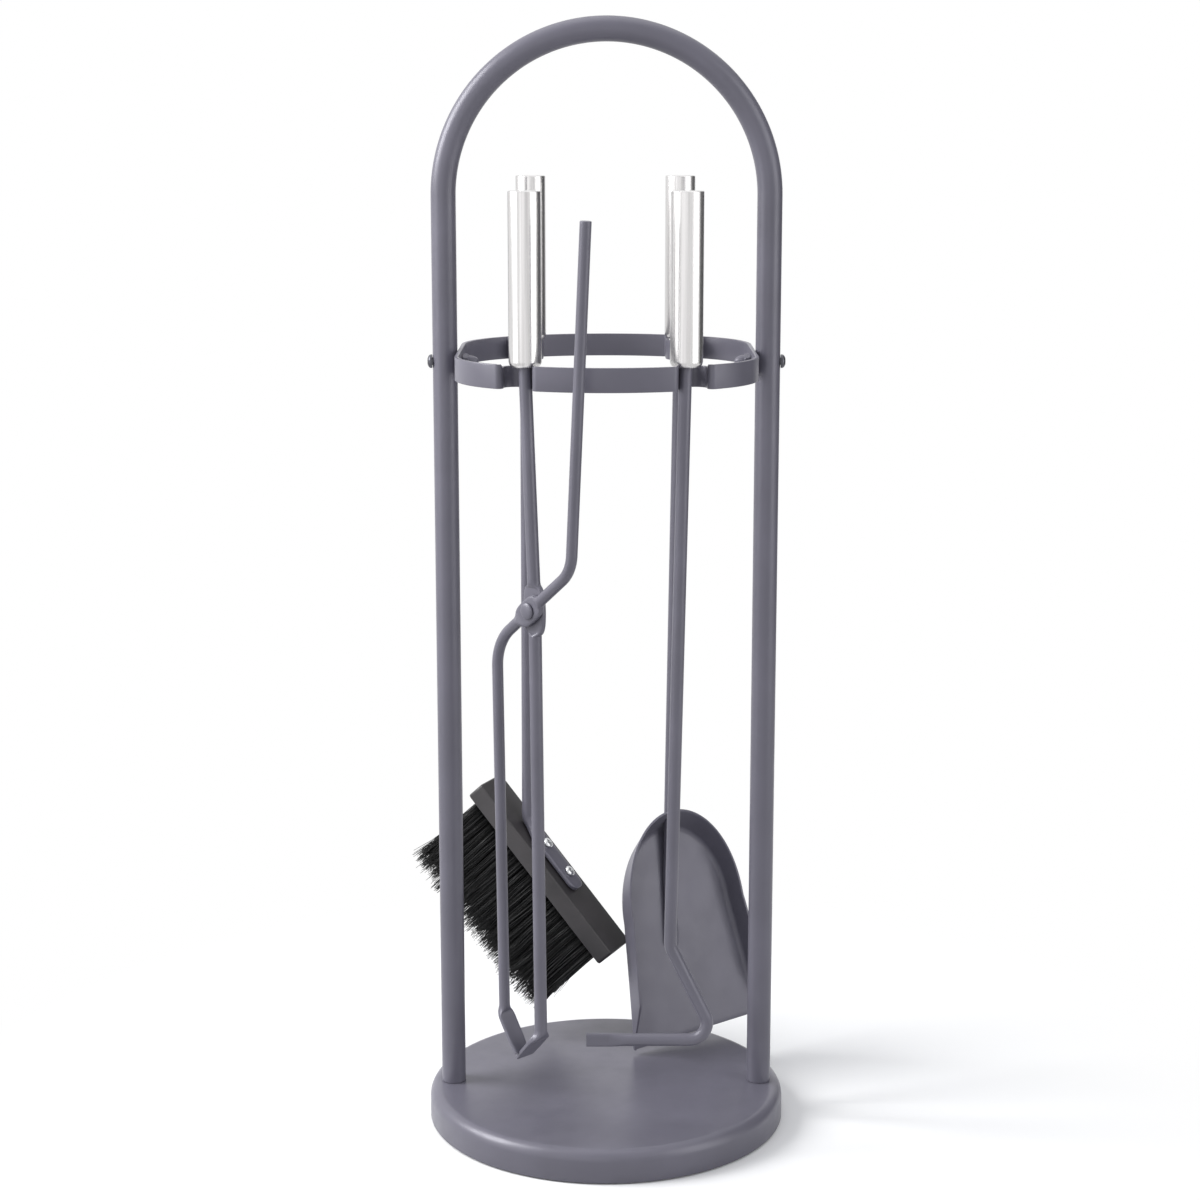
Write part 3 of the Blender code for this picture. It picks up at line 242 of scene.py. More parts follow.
def addRange(mat, value, socket, low, high):
    # value remapped from the noise's span onto low..high and plugged into the socket
    ends = {"From Min": noiseSpan[0], "From Max": noiseSpan[1], "To Min": low, "To Max": high}
    span = addNode(mat.node_tree, "MapRange", dict(Value=value, **ends))
    mat.node_tree.links.new(span.outputs["Result"], socket)


def addRamp(mat, value, socket, stops):
    # colour ramp through the given (place, colour) stops
    ramp = mat.node_tree.nodes.new("ShaderNodeValToRGB")
    bar = ramp.color_ramp.elements
    for k, (place, colour) in enumerate(stops):
        stop = bar[k] if k < 2 else bar.new(place)
        stop.position = place
        stop.color = (*colour, 1.0)
    mat.node_tree.links.new(value, ramp.inputs["Fac"])
    mat.node_tree.links.new(ramp.outputs["Color"], socket)


def addBump(mat, shader, value, depth, strength):
    # height field pushed into the shader's normal
    bump = addNode(mat.node_tree, "Bump", dict(Height=value, Distance=depth, Strength=strength))
    mat.node_tree.links.new(bump.outputs["Normal"], shader.inputs["Normal"])


def addTone(mat, shader, tone, gleam, v):
    # base colour from dark to light by one noise, roughness over its range by another
    addRamp(mat, tone, shader.inputs["Base Color"], zip(noiseSpan, (v["dark"], v["light"])))
    addRange(mat, gleam, shader.inputs["Roughness"], *v["rough"])


def mottled(name, slot, v):
    # one noise gives tone and gloss; the bump takes a finer noise, or the same one where fine is 0
    mat, shader, coords = newFinish(name, v["light"], v["metal"], v["rough"][1])
    cloud = addNoise(mat, coords, v["cloud"], detail=v["detail"])
    addTone(mat, shader, cloud, cloud, v)
    height = addNoise(mat, coords, v["fine"]) if v["fine"] else cloud
    addBump(mat, shader, height, v["depth"], v["strength"])
    return mat, slot


def slateEnamel():
    # blue-grey enamel: faint clouds of tone, slightly uneven gloss and a fine orange peel
    v = dict(dark=(0.120, 0.116, 0.144), light=(0.140, 0.135, 0.169), rough=(0.30, 0.40), metal=0.10,
             gloss=0.42, cloud=28.0, gleam=90.0, peel=1500.0, peelDetail=2.0, depth=0.00003, strength=0.25)
    mat, shader, coords = newFinish("slateEnamel", v["light"], v["metal"], v["rough"][1])
    shader.inputs["Specular IOR Level"].default_value = v["gloss"]
    addTone(mat, shader, addNoise(mat, coords, v["cloud"]), addNoise(mat, coords, v["gleam"]), v)
    peel = addNoise(mat, coords, v["peel"], detail=v["peelDetail"])
    addBump(mat, shader, peel, v["depth"], v["strength"])
    return mat, "slate_paint"


def polishedSteel():
    # steel polished along Z: long streaks in tone and gloss, and a faint drawn grain
    v = dict(dark=(0.55, 0.54, 0.54), light=(0.72, 0.708, 0.708), rough=(0.20, 0.32), metal=1.0,
             stretch=(1.0, 1.0, 0.012), streak=700.0, streakDetail=4.0, streakRough=0.6, gleam=260.0,
             depth=0.00001, strength=0.12)
    mat, shader, coords = newFinish("polishedSteel", v["light"], v["metal"], v["rough"][1])
    streak = addNoise(mat, coords, v["streak"], v["stretch"], v["streakDetail"], v["streakRough"])
    addTone(mat, shader, streak, addNoise(mat, coords, v["gleam"], v["stretch"]), v)
    addBump(mat, shader, streak, v["depth"], v["strength"])
    return mat, "stainless"


def zincPlate():
    # bright zinc with fine blotches
    v = dict(dark=(0.52, 0.53, 0.55), light=(0.76, 0.77, 0.78), rough=(0.20, 0.36), metal=1.0,
             cloud=600.0, detail=3.0, fine=2500.0, depth=0.00002, strength=0.3)
    return mottled("zincPlate", "zinc", v)


def blackMould():
    # moulded black plastic with a faint grain
    v = dict(dark=(0.024, 0.022, 0.024), light=(0.038, 0.034, 0.037), rough=(0.38, 0.52), metal=0.0,
             cloud=60.0, detail=3.0, fine=1800.0, depth=0.00004, strength=0.35)
    return mottled("blackMould", "black_plastic", v)


def fibreBlack():
    # black fibres, each with the shade that its mesh carries
    v = dict(dark=(0.0025, 0.0025, 0.0028), middle=(0.007, 0.007, 0.0075), light=(0.032, 0.031, 0.033),
             rough=(0.38, 0.60), metal=0.0, gloss=0.30, gleam=900.0)
    mat, shader, coords = newFinish("fibreBlack", v["light"], v["metal"], v["rough"][1])
    shader.inputs["Specular IOR Level"].default_value = v["gloss"]
    shade = mat.node_tree.nodes.new("ShaderNodeAttribute")
    shade.attribute_name = "shade"
    tones = [(0.0, v["dark"]), (0.7, v["middle"]), (1.0, v["light"])]
    addRamp(mat, shade.outputs["Fac"], shader.inputs["Base Color"], tones)
    addRange(mat, addNoise(mat, coords, v["gleam"]), shader.inputs["Roughness"], *v["rough"])
    return mat, "bristle_fibre"


def padRubber():
    # dull black rubber with a coarse grain
    v = dict(dark=(0.012, 0.012, 0.012), light=(0.032, 0.032, 0.032), rough=(0.75, 0.95), metal=0.0,
             cloud=1400.0, detail=5.0, fine=0.0, depth=0.00010, strength=0.6)
    return mottled("padRubber", "pad_rubber", v)


def darkSteel():
    # blackened steel with soft blotches
    v = dict(dark=(0.07, 0.07, 0.08), light=(0.13, 0.13, 0.15), rough=(0.28, 0.42), metal=0.8,
             cloud=400.0, detail=3.0, fine=2200.0, depth=0.00002, strength=0.3)
    return mottled("darkSteel", "dark_steel", v)


def castIron():
    # rough iron as it leaves the sand mould
    v = dict(dark=(0.035, 0.035, 0.036), light=(0.085, 0.083, 0.080), rough=(0.60, 0.85), metal=0.6,
             cloud=500.0, detail=6.0, fine=0.0, depth=0.00025, strength=0.7)
    return mottled("castIron", "cast_iron", v)


slate = slateEnamel()
steel = polishedSteel()
zinc = zincPlate()
mould = blackMould()
fibre = fibreBlack()
rubber = padRubber()
blackSteel = darkSteel()
iron = castIron()

# CAD pieces that stay as they are, hidden inside the base and the tube
kept = dict(base_weight=iron, base_bottom_plate=blackSteel, leg_insert_left=blackSteel,
            leg_insert_right=blackSteel, leg_screw_left=zinc, leg_screw_right=zinc)
for nodeName, finish in kept.items():
    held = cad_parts[nodeName]
    held.data.materials.clear()
    held.data.materials.append(finish[0])
print("stage 2: finishes ready")

# base: a drawn steel cover over a thin rubber pad
cover = dict(radius=0.0950, top=0.0172, shoulder=0.0060, sheet=0.0020, skirt=0.0003, lip=0.0005, segs=256,
             shoulderRows=14, innerRows=10, lipRows=5)


def coverProfile(v):
    # flat top, quarter-circle shoulder, straight skirt with a rounded foot, and the same again inside
    flat = v["radius"] - v["shoulder"]
    hub = (flat, v["top"] - v["shoulder"])
    foot = v["skirt"] + v["lip"]
    outer = arcPoints(hub, v["shoulder"], 90.0, 0.0, v["shoulderRows"])
    outerLip = arcPoints((v["radius"] - v["lip"], foot), v["lip"], 0.0, -90.0, v["lipRows"])
    innerLip = arcPoints((v["radius"] - v["sheet"] + v["lip"], foot), v["lip"], -90.0, -180.0, v["lipRows"])
    inner = arcPoints(hub, v["shoulder"] - v["sheet"], 0.0, 90.0, v["innerRows"])
    above = [(poleRadius, v["top"]), (0.5 * flat, v["top"])]
    below = [(0.5 * flat, v["top"] - v["sheet"]), (poleRadius, v["top"] - v["sheet"])]
    return np.concatenate([above, outer, outerLip, innerLip, inner, below])


makePiece("baseCover", turned(coverProfile(cover), cover["segs"]), slate, "stand", "base_shell")

pad = dict(radius=0.0924, thick=0.0020, edge=0.0006, edgeRows=5, segs=128)


def padProfile(v):
    # disc with quarter-circle edges
    r = v["radius"] - v["edge"]
    low = arcPoints((r, v["edge"]), v["edge"], -90.0, 0.0, v["edgeRows"])
    high = arcPoints((r, v["thick"] - v["edge"]), v["edge"], 0.0, 90.0, v["edgeRows"])
    return np.concatenate([[(poleRadius, 0.0)], low, high, [(poleRadius, v["thick"])]])


makePiece("basePad", turned(padProfile(pad), pad["segs"]), rubber, "stand", "base_pad")

# hoop: one tube, up, over and down again
hoop = dict(bore=0.0051, archZ=0.4907, footZ=0.0175, segs=64, archRows=120, legRows=60)


def hoopSurface(v):
    # outer and inner circles carried up one leg, round a half circle and down the other
    leg = np.linspace(v["footZ"], v["archZ"], v["legRows"])[:-1]
    a = np.linspace(math.pi, 0.0, v["archRows"])
    x = np.concatenate([np.full(len(leg), -halfSpan), halfSpan * np.cos(a), np.full(len(leg), halfSpan)])
    z = np.concatenate([leg, v["archZ"] + halfSpan * np.sin(a), leg[::-1]])
    path = np.stack([x, np.zeros(len(x)), z], axis=1)
    size = np.full(len(path), tubeRadius)
    outer = carried(path, (0.0, 1.0, 0.0), size, size, 2.0, v["segs"])
    bore = size * v["bore"] / tubeRadius
    inner = carried(path, (0.0, 1.0, 0.0), bore, bore, 2.0, v["segs"])
    return closedGrid(np.concatenate([outer, inner[::-1]]), True)


makePiece("hoopTube", hoopSurface(hoop), slate, "stand", "hoop_tube", sharp=40.0)
print("stage 3: base and hoop")

# ring rack: a flat strip bent round, with four slots for the handles
ring = dict(radius=0.0905, thick=0.0020, low=0.4014, high=0.4133, slotX={1.0: 0.04125, -1.0: 0.0429},
            slotHalf=0.0081, slotFloor=0.0630, nearRadius=0.0079, farRadius=0.0066, nearBend=0.0019,
            farBend=0.0016, blend=0.0500, blendRows=24, arcRows=20, shortRows=3, filletStep=9.0,
            every=0.0015, edge=0.00035, edgeRows=4)
# the top edge is cut down to the seat inwards of a line that slants across each slot
seatCut = dict(seat=0.4118, mouth=0.0817, slant=0.0097, lead=0.0040, ease=0.0008, slack=0.0002, under=0.0030)


def slotCorners(v, sideX, sideY):
    # mouth, floor, floor, mouth of one slot's centre line, nearer wall first
    mid = v["radius"] - v["thick"] / 2.0
    x = np.array([-1.0, -1.0, 1.0, 1.0]) * v["slotHalf"] + v["slotX"][sideX]
    mouth = np.sqrt(mid ** 2 - x ** 2)
    y = np.where([True, False, False, True], mouth, v["slotFloor"])
    return np.stack([sideX * x, sideY * y], axis=1)


def ringOutline(v):
    # circle arcs between four U slots, and flats beside the legs blended in by wide arcs
    mid = v["radius"] - v["thick"] / 2.0
    hubX = halfSpan - tubeRadius - gap - v["thick"] / 2.0 - v["blend"]
    hubY = math.sqrt((mid - v["blend"]) ** 2 - hubX ** 2)
    blend = math.degrees(math.atan2(hubY, hubX))
    bends = [v["nearBend"], v["nearRadius"], v["farRadius"], v["farBend"]]
    corners, radii = [], []
    for base, sign in ((0.0, 1.0), (180.0, -1.0)):
        first = slotCorners(v, sign, sign)[::-1]
        second = slotCorners(v, -sign, sign)
        turn = np.degrees(np.arctan2(*np.concatenate([first, second]).T[::-1])) % 360.0
        start = [*arcPoints((sign * hubX, sign * hubY), v["blend"], base, base + blend, v["blendRows"]),
                 *arcPoints((0, 0), mid, base + blend, turn[0], v["shortRows"])[1:-1]]
        middle = arcPoints((0, 0), mid, turn[3], turn[4], v["arcRows"])[1:-1]
        far = base + 180.0
        end = [*arcPoints((0, 0), mid, turn[7], far - blend, v["shortRows"])[1:-1],
               *arcPoints((-sign * hubX, sign * hubY), v["blend"], far - blend, far, v["blendRows"])]
        corners += [*start, *first, *middle, *second, *end]
        radii += [0.0] * len(start) + bends[::-1] + [0.0] * len(middle) + bends + [0.0] * len(end)
    return filleted([corners[-1]] + corners + [corners[0]], radii, v["filletStep"])[1:-1]


def ringSurface(v, cut):
    # rounded-rectangle section carried round the outline; its top edge drops to the seat within each slot
    path = ringOutline(v)
    leg = np.linalg.norm(np.diff(path, axis=0, append=path[:1]), axis=1)
    parts = np.maximum(np.ceil(leg / v["every"]).astype(int), 1)
    start = np.repeat(np.arange(len(path)), parts)
    share = (np.arange(len(start)) - np.repeat(np.cumsum(parts) - parts, parts)) / parts[start]
    path = path[start] + (np.roll(path, -1, axis=0)[start] - path[start]) * share[:, None]
    ahead = unit(np.roll(path, -1, axis=0) - path)
    before = np.roll(ahead, 1, axis=0)
    n0 = np.stack([before[:, 1], -before[:, 0]], axis=1)
    n1 = np.stack([ahead[:, 1], -ahead[:, 0]], axis=1)
    mitre = (n0 + n1) / (1.0 + (n0 * n1).sum(axis=1))[:, None]
    half = (v["high"] - v["low"]) / 2.0
    section = roundedRect(v["thick"] / 2.0, half, v["edge"], v["edgeRows"])
    plan = path[:, None] + mitre[:, None] * section[None, :, :1]
    x, y = np.abs(plan[..., 0]), np.abs(plan[..., 1])
    centre = np.where(plan[..., 0] > 0.0, v["slotX"][1.0], v["slotX"][-1.0])
    reach = v["slotHalf"] + v["thick"]
    across = (x - centre + reach - cut["lead"]) / (2.0 * reach - cut["lead"])
    line = cut["mouth"] - cut["slant"] * smooth(across)
    within = (np.abs(x - centre) < reach + cut["slack"]) * (y > v["slotFloor"] - cut["under"])
    inside = smooth((line - y) / cut["ease"]) * within
    top = v["high"] - (v["high"] - cut["seat"]) * inside
    high = section[None, :, 1] > 0.0
    z = np.where(high, top - (half - section[None, :, 1]), v["low"] + half + section[None, :, 1])
    return closedGrid(np.concatenate([plan, z[..., None]], axis=-1), True)


makePiece("ringBand", ringSurface(ring, seatCut), slate, "stand", "ring_strip", sharp=40.0)

bolt = dict(height=(ring["low"] + ring["high"]) / 2.0, radius=0.0020, headRadius=0.0035, headHeight=0.0023,
            rim=0.0006, domeTurn=62.0, past=0.0054, socket=0.00125, socketDepth=0.0012, drillPoint=0.0003,
            domeRows=9, segs=60)
nut = dict(halfFlats=0.0035, hexHeight=0.0032, domeHeight=0.0050, domeInset=0.0004, domeTurn=88.0,
           foot=0.0002, coneStart=1.01, coneSlope=190.0, domeRows=12, segs=60,
           rows=(0.0, 0.0002, 0.0004, 0.0006, 0.0010, 0.0020, 0.0024, 0.0027, 0.0029, 0.0031))


def hexReach(angle):
    # from an inscribed circle out to a hexagon's side: 1 / cos(angle to the nearest flat's middle)
    return 1.0 / np.cos((angle + math.pi / 6.0) % (math.pi / 3.0) - math.pi / 6.0)


def boltProfile(v):
    # shank, flat seat, low dome, and a hexagonal socket down to its floor
    seat = halfSpan + tubeRadius + gap
    tip = halfSpan - tubeRadius - ring["thick"] - gap - v["past"]
    a = np.radians(np.linspace(0.0, v["domeTurn"], v["domeRows"]))
    rise = seat + v["rim"] + (v["headHeight"] - v["rim"]) * np.sin(a) / math.sin(a[-1])
    dome = np.stack([v["headRadius"] * np.cos(a), rise], axis=1)
    floor = seat + v["headHeight"] - v["socketDepth"]
    shank = [(finePole, tip), (v["radius"], tip), (v["radius"], seat), (v["headRadius"], seat)]
    inner = [(v["socket"], seat + v["headHeight"]), (v["socket"], floor), (finePole, floor - v["drillPoint"])]
    return np.concatenate([shank, dome, inner])


def socketSpread(radius, height, a):
    # rows as narrow as the socket follow a hexagon, all others stay round
    return np.where(np.abs(radius - bolt["socket"]) < tiny, radius * hexReach(a), radius)


def nutProfile(v):
    # hexagon with both ends chamfered, then a quarter-ellipse dome
    a = np.radians(np.linspace(0.0, v["domeTurn"], v["domeRows"]))
    domeRadius = (v["halfFlats"] - v["domeInset"]) * np.cos(a)
    dome = np.stack([domeRadius, v["hexHeight"] + v["domeHeight"] * np.sin(a)], axis=1)
    hexRows = np.stack([np.full(len(v["rows"]), v["halfFlats"]), v["rows"]], axis=1)
    return np.concatenate([[(finePole, 0.0), (v["halfFlats"] - v["foot"], 0.0)], hexRows, dome])


def nutSpread(radius, height, a):
    # hexagon cut by a cone at each end: the smaller of the hexagon and start + slope * way from the end
    away = np.minimum(height, nut["hexHeight"] - height)
    limit = radius * (nut["coneStart"] + nut["coneSlope"] * np.maximum(away, 0.0))
    onHex = (np.abs(radius - nut["halfFlats"]) < tiny) & (height < nut["hexHeight"])
    return np.where(onHex, np.minimum(radius * hexReach(a), limit), radius)


for side, sign in (("left", -1.0), ("right", 1.0)):
    boltData = turned(boltProfile(bolt), bolt["segs"], (0.0, 0.0, bolt["height"]), (sign, 0.0, 0.0),
                      spread=socketSpread)
    makePiece("ringBolt_" + side, boltData, blackSteel, "stand", "ring_bolt_" + side)
    nutSeat = halfSpan - tubeRadius - ring["thick"] - 2.0 * gap
    nutData = turned(nutProfile(nut), nut["segs"], (sign * nutSeat, 0.0, bolt["height"]), (-sign, 0.0, 0.0),
                     phase=math.pi / 6.0, spread=nutSpread)
    makePiece("ringNut_" + side, nutData, slate, "stand", "ring_nut_" + side, sharp=24.0)
print("stage 4: ring rack")

# handles: polished tubes, each with a bush that centres its rod
grip = dict(radius=0.0080, rim=0.0005, belly=0.0030, tuck=0.0025, bore=0.0035, counterRadius=0.0043,
            counterDepth=0.0120, depth=0.0600, frontLength=0.0838, rearLength=0.0868, rimRows=7, tuckRows=12,
            segs=128)
bush = dict(low=0.0005, radius=0.0040, edge=0.0003, segs=64)
plans = dict(poker=(0.0382, -0.0740), tongs=(-0.0394, -0.0740), shovel=(0.0397, 0.0740),
             brush=(-0.0404, 0.0740))


def gripProfile(v, length):
    # flat top, small round rim, straight side, elliptical tuck at the bottom, then the stepped bore
    r = v["radius"]
    rim = arcPoints((r - v["rim"], length - v["rim"]), v["rim"], 90.0, 0.0, v["rimRows"])
    a = np.radians(np.linspace(0.0, 90.0, v["tuckRows"]))
    tuck = np.stack([r - v["tuck"] * (1.0 - np.cos(a)), v["belly"] * (1.0 - np.sin(a))], axis=1)
    inner = [(v["counterRadius"], 0.0), (v["counterRadius"], v["counterDepth"]),
             (v["bore"], v["counterDepth"]), (v["bore"], v["depth"]), (poleRadius, v["depth"])]
    return np.concatenate([[(poleRadius, length)], rim, tuck, inner])


def bushProfile(v):
    # ring with a chamfered lower edge
    high = grip["counterDepth"] - gap
    return [(grip["bore"], v["low"]), (v["radius"] - v["edge"], v["low"]),
            (v["radius"], v["low"] + v["edge"]), (v["radius"], high), (grip["bore"], high)]


for tool, (planX, planY) in plans.items():
    gripLength = grip["frontLength"] if planY < 0.0 else grip["rearLength"]
    foot = (planX, planY, seatHeight)
    gripData = turned(gripProfile(grip, gripLength), grip["segs"], foot)
    makePiece(tool + "Handle", gripData, steel, tool, tool + "_handle")
    bushData = turned(bushProfile(bush), bush["segs"], foot, loop=True)
    makePiece(tool + "Bush", bushData, steel, tool, tool + "_handle_bush")
print("stage 5: handles")

# poker: one bent rod with a flattened tip; ease holds where the flattening starts, back from the end,
# and how long it is, both as multiples of chisel
poker = dict(kneeX=0.0377, bend=(0.0320, 0.1195), corner=(0.0563, 0.0693), endX=-0.0105, bendRadius=0.0120,
             cornerRadius=0.0090, chisel=0.0160, ease=(1.25, 0.55), widen=0.0003, thin=0.0016, square=1.6,
             fineTail=0.02)


def pokerSurface(v):
    # round rod that eases into a flattened tip over the last stretch
    x, y = plans["poker"]
    corners = [(x, y, rodTop), (x, y, rodSet), (v["kneeX"], y, rodKnee), (v["bend"][0], y, v["bend"][1]),
               (v["corner"][0], y, v["corner"][1]), (v["endX"], y, v["corner"][1])]
    bent = filleted(corners, [0.0, 0.0, v["bendRadius"], v["cornerRadius"]])
    path, d, total = spaced(bent, tail=v["fineTail"])
    start, ease = v["ease"]
    t = smooth((d - total + v["chisel"] * start) / (v["chisel"] * ease))
    draw = rounding(d, total)
    halfIn = rodRadius + v["widen"] * t - draw
    halfAcross = rodRadius - v["thin"] * t - draw
    return closedGrid(carried(path, (0.0, 1.0, 0.0), halfIn, halfAcross, 2.0 + v["square"] * t))


makePiece("pokerRod", pokerSurface(poker), slate, "poker", "poker_rod")

# tongs: two arms in one upright plane; plateEase and jawPress hold where a change starts and how long it is
tongs = dict(turn=math.radians(46.0), offset=0.0035, halfT=0.0016, pivot=(0.0060, 0.2938), jawHalfT=0.0011,
             plateEase=(0.90, 0.14), jawPress=(0.0030, 0.0065), taper=0.0080, tipDraw=0.0006,
             plateSquare=2.5, jawSquare=5.0, every=0.0015, segs=56)
mainArm = dict(plate=(0.0124, 0.0070), foot=(0.0088, 0.0738), tip=(-0.0039, 0.0599), jawHalfW=0.0064,
               rod=rodRadius, bends=(0.0, 0.0, 0.0045))
freeArm = dict(plate=(0.0090, 0.0059), top=(0.0459, 0.4834), upper=(0.0355, 0.3169), lower=(-0.0181, 0.2745),
               foot=(-0.0147, 0.0820), tip=(-0.0019, 0.0630), jawHalfW=0.0048, rod=0.0028,
               bends=(0.0180, 0.0250, 0.0045))
tongsAcross = np.array([-math.sin(tongs["turn"]), -math.cos(tongs["turn"]), 0.0])


def tongsPoint(spot, offset):
    # plane through the handle's axis, turned about Z, with a shift square to it
    along = np.array([math.cos(tongs["turn"]), -math.sin(tongs["turn"]), 0.0])
    return np.array([*plans["tongs"], spot[1]]) + along * spot[0] + tongsAcross * offset


def armSurface(v, corners, offset):
    # rod that swells as sqrt(1 - t^3) into a flat plate at the pivot and presses flat into a jaw
    # below its foot
    bent = filleted([tongsPoint(c, offset) for c in corners], v["bends"])
    path, d, total = spaced(bent, every=tongs["every"])
    atPivot = d[np.argmin(np.linalg.norm(path - tongsPoint(tongs["pivot"], offset), axis=1))]
    length, width = v["plate"]
    away = np.abs(d - atPivot)
    start, ease = tongs["plateEase"]
    flat = 1.0 - smooth((away - length * start) / (length * ease))
    bulge = np.sqrt(1.0 - (np.minimum(away, length) / length) ** 3)
    jaw = np.linalg.norm(tongsPoint(v["foot"], offset) - path[-1])
    lead, press = tongs["jawPress"]
    bend = smooth((d - total + jaw + lead) / press)
    jawHalfW = v["jawHalfW"] - tongs["tipDraw"] * smooth((d - total + tongs["taper"]) / tongs["taper"])
    draw = rounding(d, total)
    halfIn = v["rod"] + (width - v["rod"]) * bulge
    halfAcross = v["rod"] + (tongs["halfT"] - v["rod"]) * flat
    halfIn = halfIn + (tongs["jawHalfT"] - halfIn) * bend - draw
    halfAcross = halfAcross + (jawHalfW - halfAcross) * bend - draw
    power = 2.0 + tongs["plateSquare"] * flat + tongs["jawSquare"] * bend
    return closedGrid(carried(path, tongsAcross, halfIn, halfAcross, power, tongs["segs"]))


mainCorners = [(0.0, rodTop), (0.0, rodKnee), tongs["pivot"], mainArm["foot"], mainArm["tip"]]
mainData = armSurface(mainArm, mainCorners, 0.0)
makePiece("tongsMainArm", mainData, slate, "tongs", "tongs_main_arm")
freeCorners = [freeArm["top"], freeArm["upper"], freeArm["lower"], freeArm["foot"], freeArm["tip"]]
freeData = armSurface(freeArm, freeCorners, tongs["offset"])
makePiece("tongsFreeArm", freeData, slate, "tongs_arm", "tongs_free_arm")

rivetDome = dict(turn=88.0, rim=0.2, rows=9)    # rim is the upright part, as a share of the head's height


def rivetProfile(v, low, high):
    # shank from low to high with a quarter-ellipse dome at each end
    a = np.radians(np.linspace(rivetDome["turn"], 0.0, rivetDome["rows"]))
    edge = v["headHeight"] * rivetDome["rim"]
    dome = np.stack([v["headRadius"] * np.cos(a), edge + (v["headHeight"] - edge) * np.sin(a)], axis=1)
    under = dome * [1.0, -1.0] + [0.0, low]
    over = dome[::-1] + [0.0, high]
    shank = [(v["headRadius"], low), (v["radius"], low), (v["radius"], high), (v["headRadius"], high)]
    return np.concatenate([under, shank, over])


pivotRivet = dict(radius=0.0025, headRadius=0.0042, headHeight=0.0015, segs=56)
rivetRows = rivetProfile(pivotRivet, -tongs["halfT"] - gap, tongs["offset"] + tongs["halfT"] + gap)
rivetData = turned(rivetRows, pivotRivet["segs"], tongsPoint(tongs["pivot"], 0.0), tongsAcross)
makePiece("tongsRivet", rivetData, slate, "tongs", "tongs_rivet")
print("stage 6: poker and tongs")

# shovel: a pressed pan, and a rod pressed flat where it is riveted on
pan = dict(turn=math.radians(33.2), lean=math.radians(13.8), roll=math.radians(3.0),
           lip=(0.0523, 0.0600, 0.0220), lipHalf=0.0434, shoulderHalf=0.0356, side=0.0694, arch=0.0470,
           wall=0.0130, sideFlare=0.0014, backFlare=0.0095, flarePower=1.6, rise=0.0250, lipWall=0.15,
           sheet=0.0012, fillet=0.0026, filletShare=0.45, sideRows=26, archRows=30, wallRows=9,
           floorRows=12, rolledEdge=0.00035, rolledRows=2, rolledTurn=60.0)


def panAxes(v):
    # flat frame turned about Z, leaned back, then rolled in its own plane
    flatU = np.array([math.cos(v["turn"]), math.sin(v["turn"]), 0.0])
    flatN = np.array([math.sin(v["turn"]), -math.cos(v["turn"]), 0.0])
    a = upward * math.cos(v["lean"]) - flatN * math.sin(v["lean"])
    n = flatN * math.cos(v["lean"]) + upward * math.sin(v["lean"])
    c, s = math.cos(v["roll"]), math.sin(v["roll"])
    return flatU * c + a * s, a * c - flatU * s, n


panU, panA, panN = panAxes(pan)


def panPoint(p, q, lift):
    # lip + u p + a q + n lift, for single values or whole arrays
    p, q, lift = (np.asarray(s, float)[..., None] for s in (p, q, lift))
    return np.array(pan["lip"]) + panU * p + panA * q + panN * lift


def panSurface(v):
    # floor strips run from a centre line out to the edge, then a quadratic fillet and a flared wall
    q = np.linspace(0.0, v["side"], v["sideRows"])[:-1]
    a = np.linspace(0.0, math.pi / 2.0, v["archRows"])
    sideX = v["lipHalf"] + (v["shoulderHalf"] - v["lipHalf"]) * q / v["side"]
    arch = np.stack([v["shoulderHalf"] * np.cos(a), v["side"] + v["arch"] * np.sin(a)], axis=1)
    right = np.concatenate([np.stack([sideX, q], axis=1), arch])
    edge = np.concatenate([right, right[-2::-1] * [-1.0, 1.0]])
    slope = np.gradient(edge, axis=0)
    out = unit(np.stack([slope[:, 1], -slope[:, 0]], axis=1))
    out[0], out[-1] = (1.0, 0.0), (-1.0, 0.0)
    back = np.maximum(out[:, 1], 0.0)
    share = np.clip(edge[:, 1] / v["rise"], v["lipWall"], 1.0)
    flare = (v["sideFlare"] + (v["backFlare"] - v["sideFlare"]) * back ** v["flarePower"]) * share
    height = v["wall"] * share
    length = np.hypot(flare, height)
    bend = np.minimum(v["fillet"], v["filletShare"] * length)
    lean, up = flare / length, height / length
    t = np.linspace(0.0, 1.0, v["wallRows"])[:, None]
    beyond = bend + (length - bend) * t[1:]
    away = np.concatenate([-bend * (1.0 - t) ** 2 + lean * bend * t ** 2, lean * beyond])
    lift = np.concatenate([up * bend * t ** 2, up * beyond])
    hub = np.stack([np.zeros(len(edge)), np.minimum(edge[:, 1], v["side"])], axis=1)
    first = edge - out * bend[:, None]
    inner = hub + (first - hub) * np.linspace(0.0, 1.0, v["floorRows"])[:-1, None, None]
    wall = edge + out * away[..., None]
    spots = np.concatenate([inner, wall])
    lifts = np.concatenate([np.zeros((len(inner), len(edge))), lift])
    points = panPoint(spots[..., 0], spots[..., 1], lifts)
    return points.reshape(-1, 3), gridQuads(*points.shape[:2], False, False)


def panMesh(v):
    # open sheet welded along its centre line and faced into the hollow
    points, quads = panSurface(v)
    mesh = bpy.data.meshes.new("shovelPan")
    mesh.from_pydata(points.tolist(), [], quads.tolist())
    work = bmesh.new()
    work.from_mesh(mesh)
    bmesh.ops.remove_doubles(work, verts=work.verts, dist=tiny)
    bmesh.ops.recalc_face_normals(work, faces=work.faces)
    total = sum((np.array(f.normal) * f.calc_area() for f in work.faces), np.zeros(3))
    if total @ panN < 0.0:
        bmesh.ops.reverse_faces(work, faces=work.faces)
    work.to_mesh(mesh)
    work.free()
    return mesh


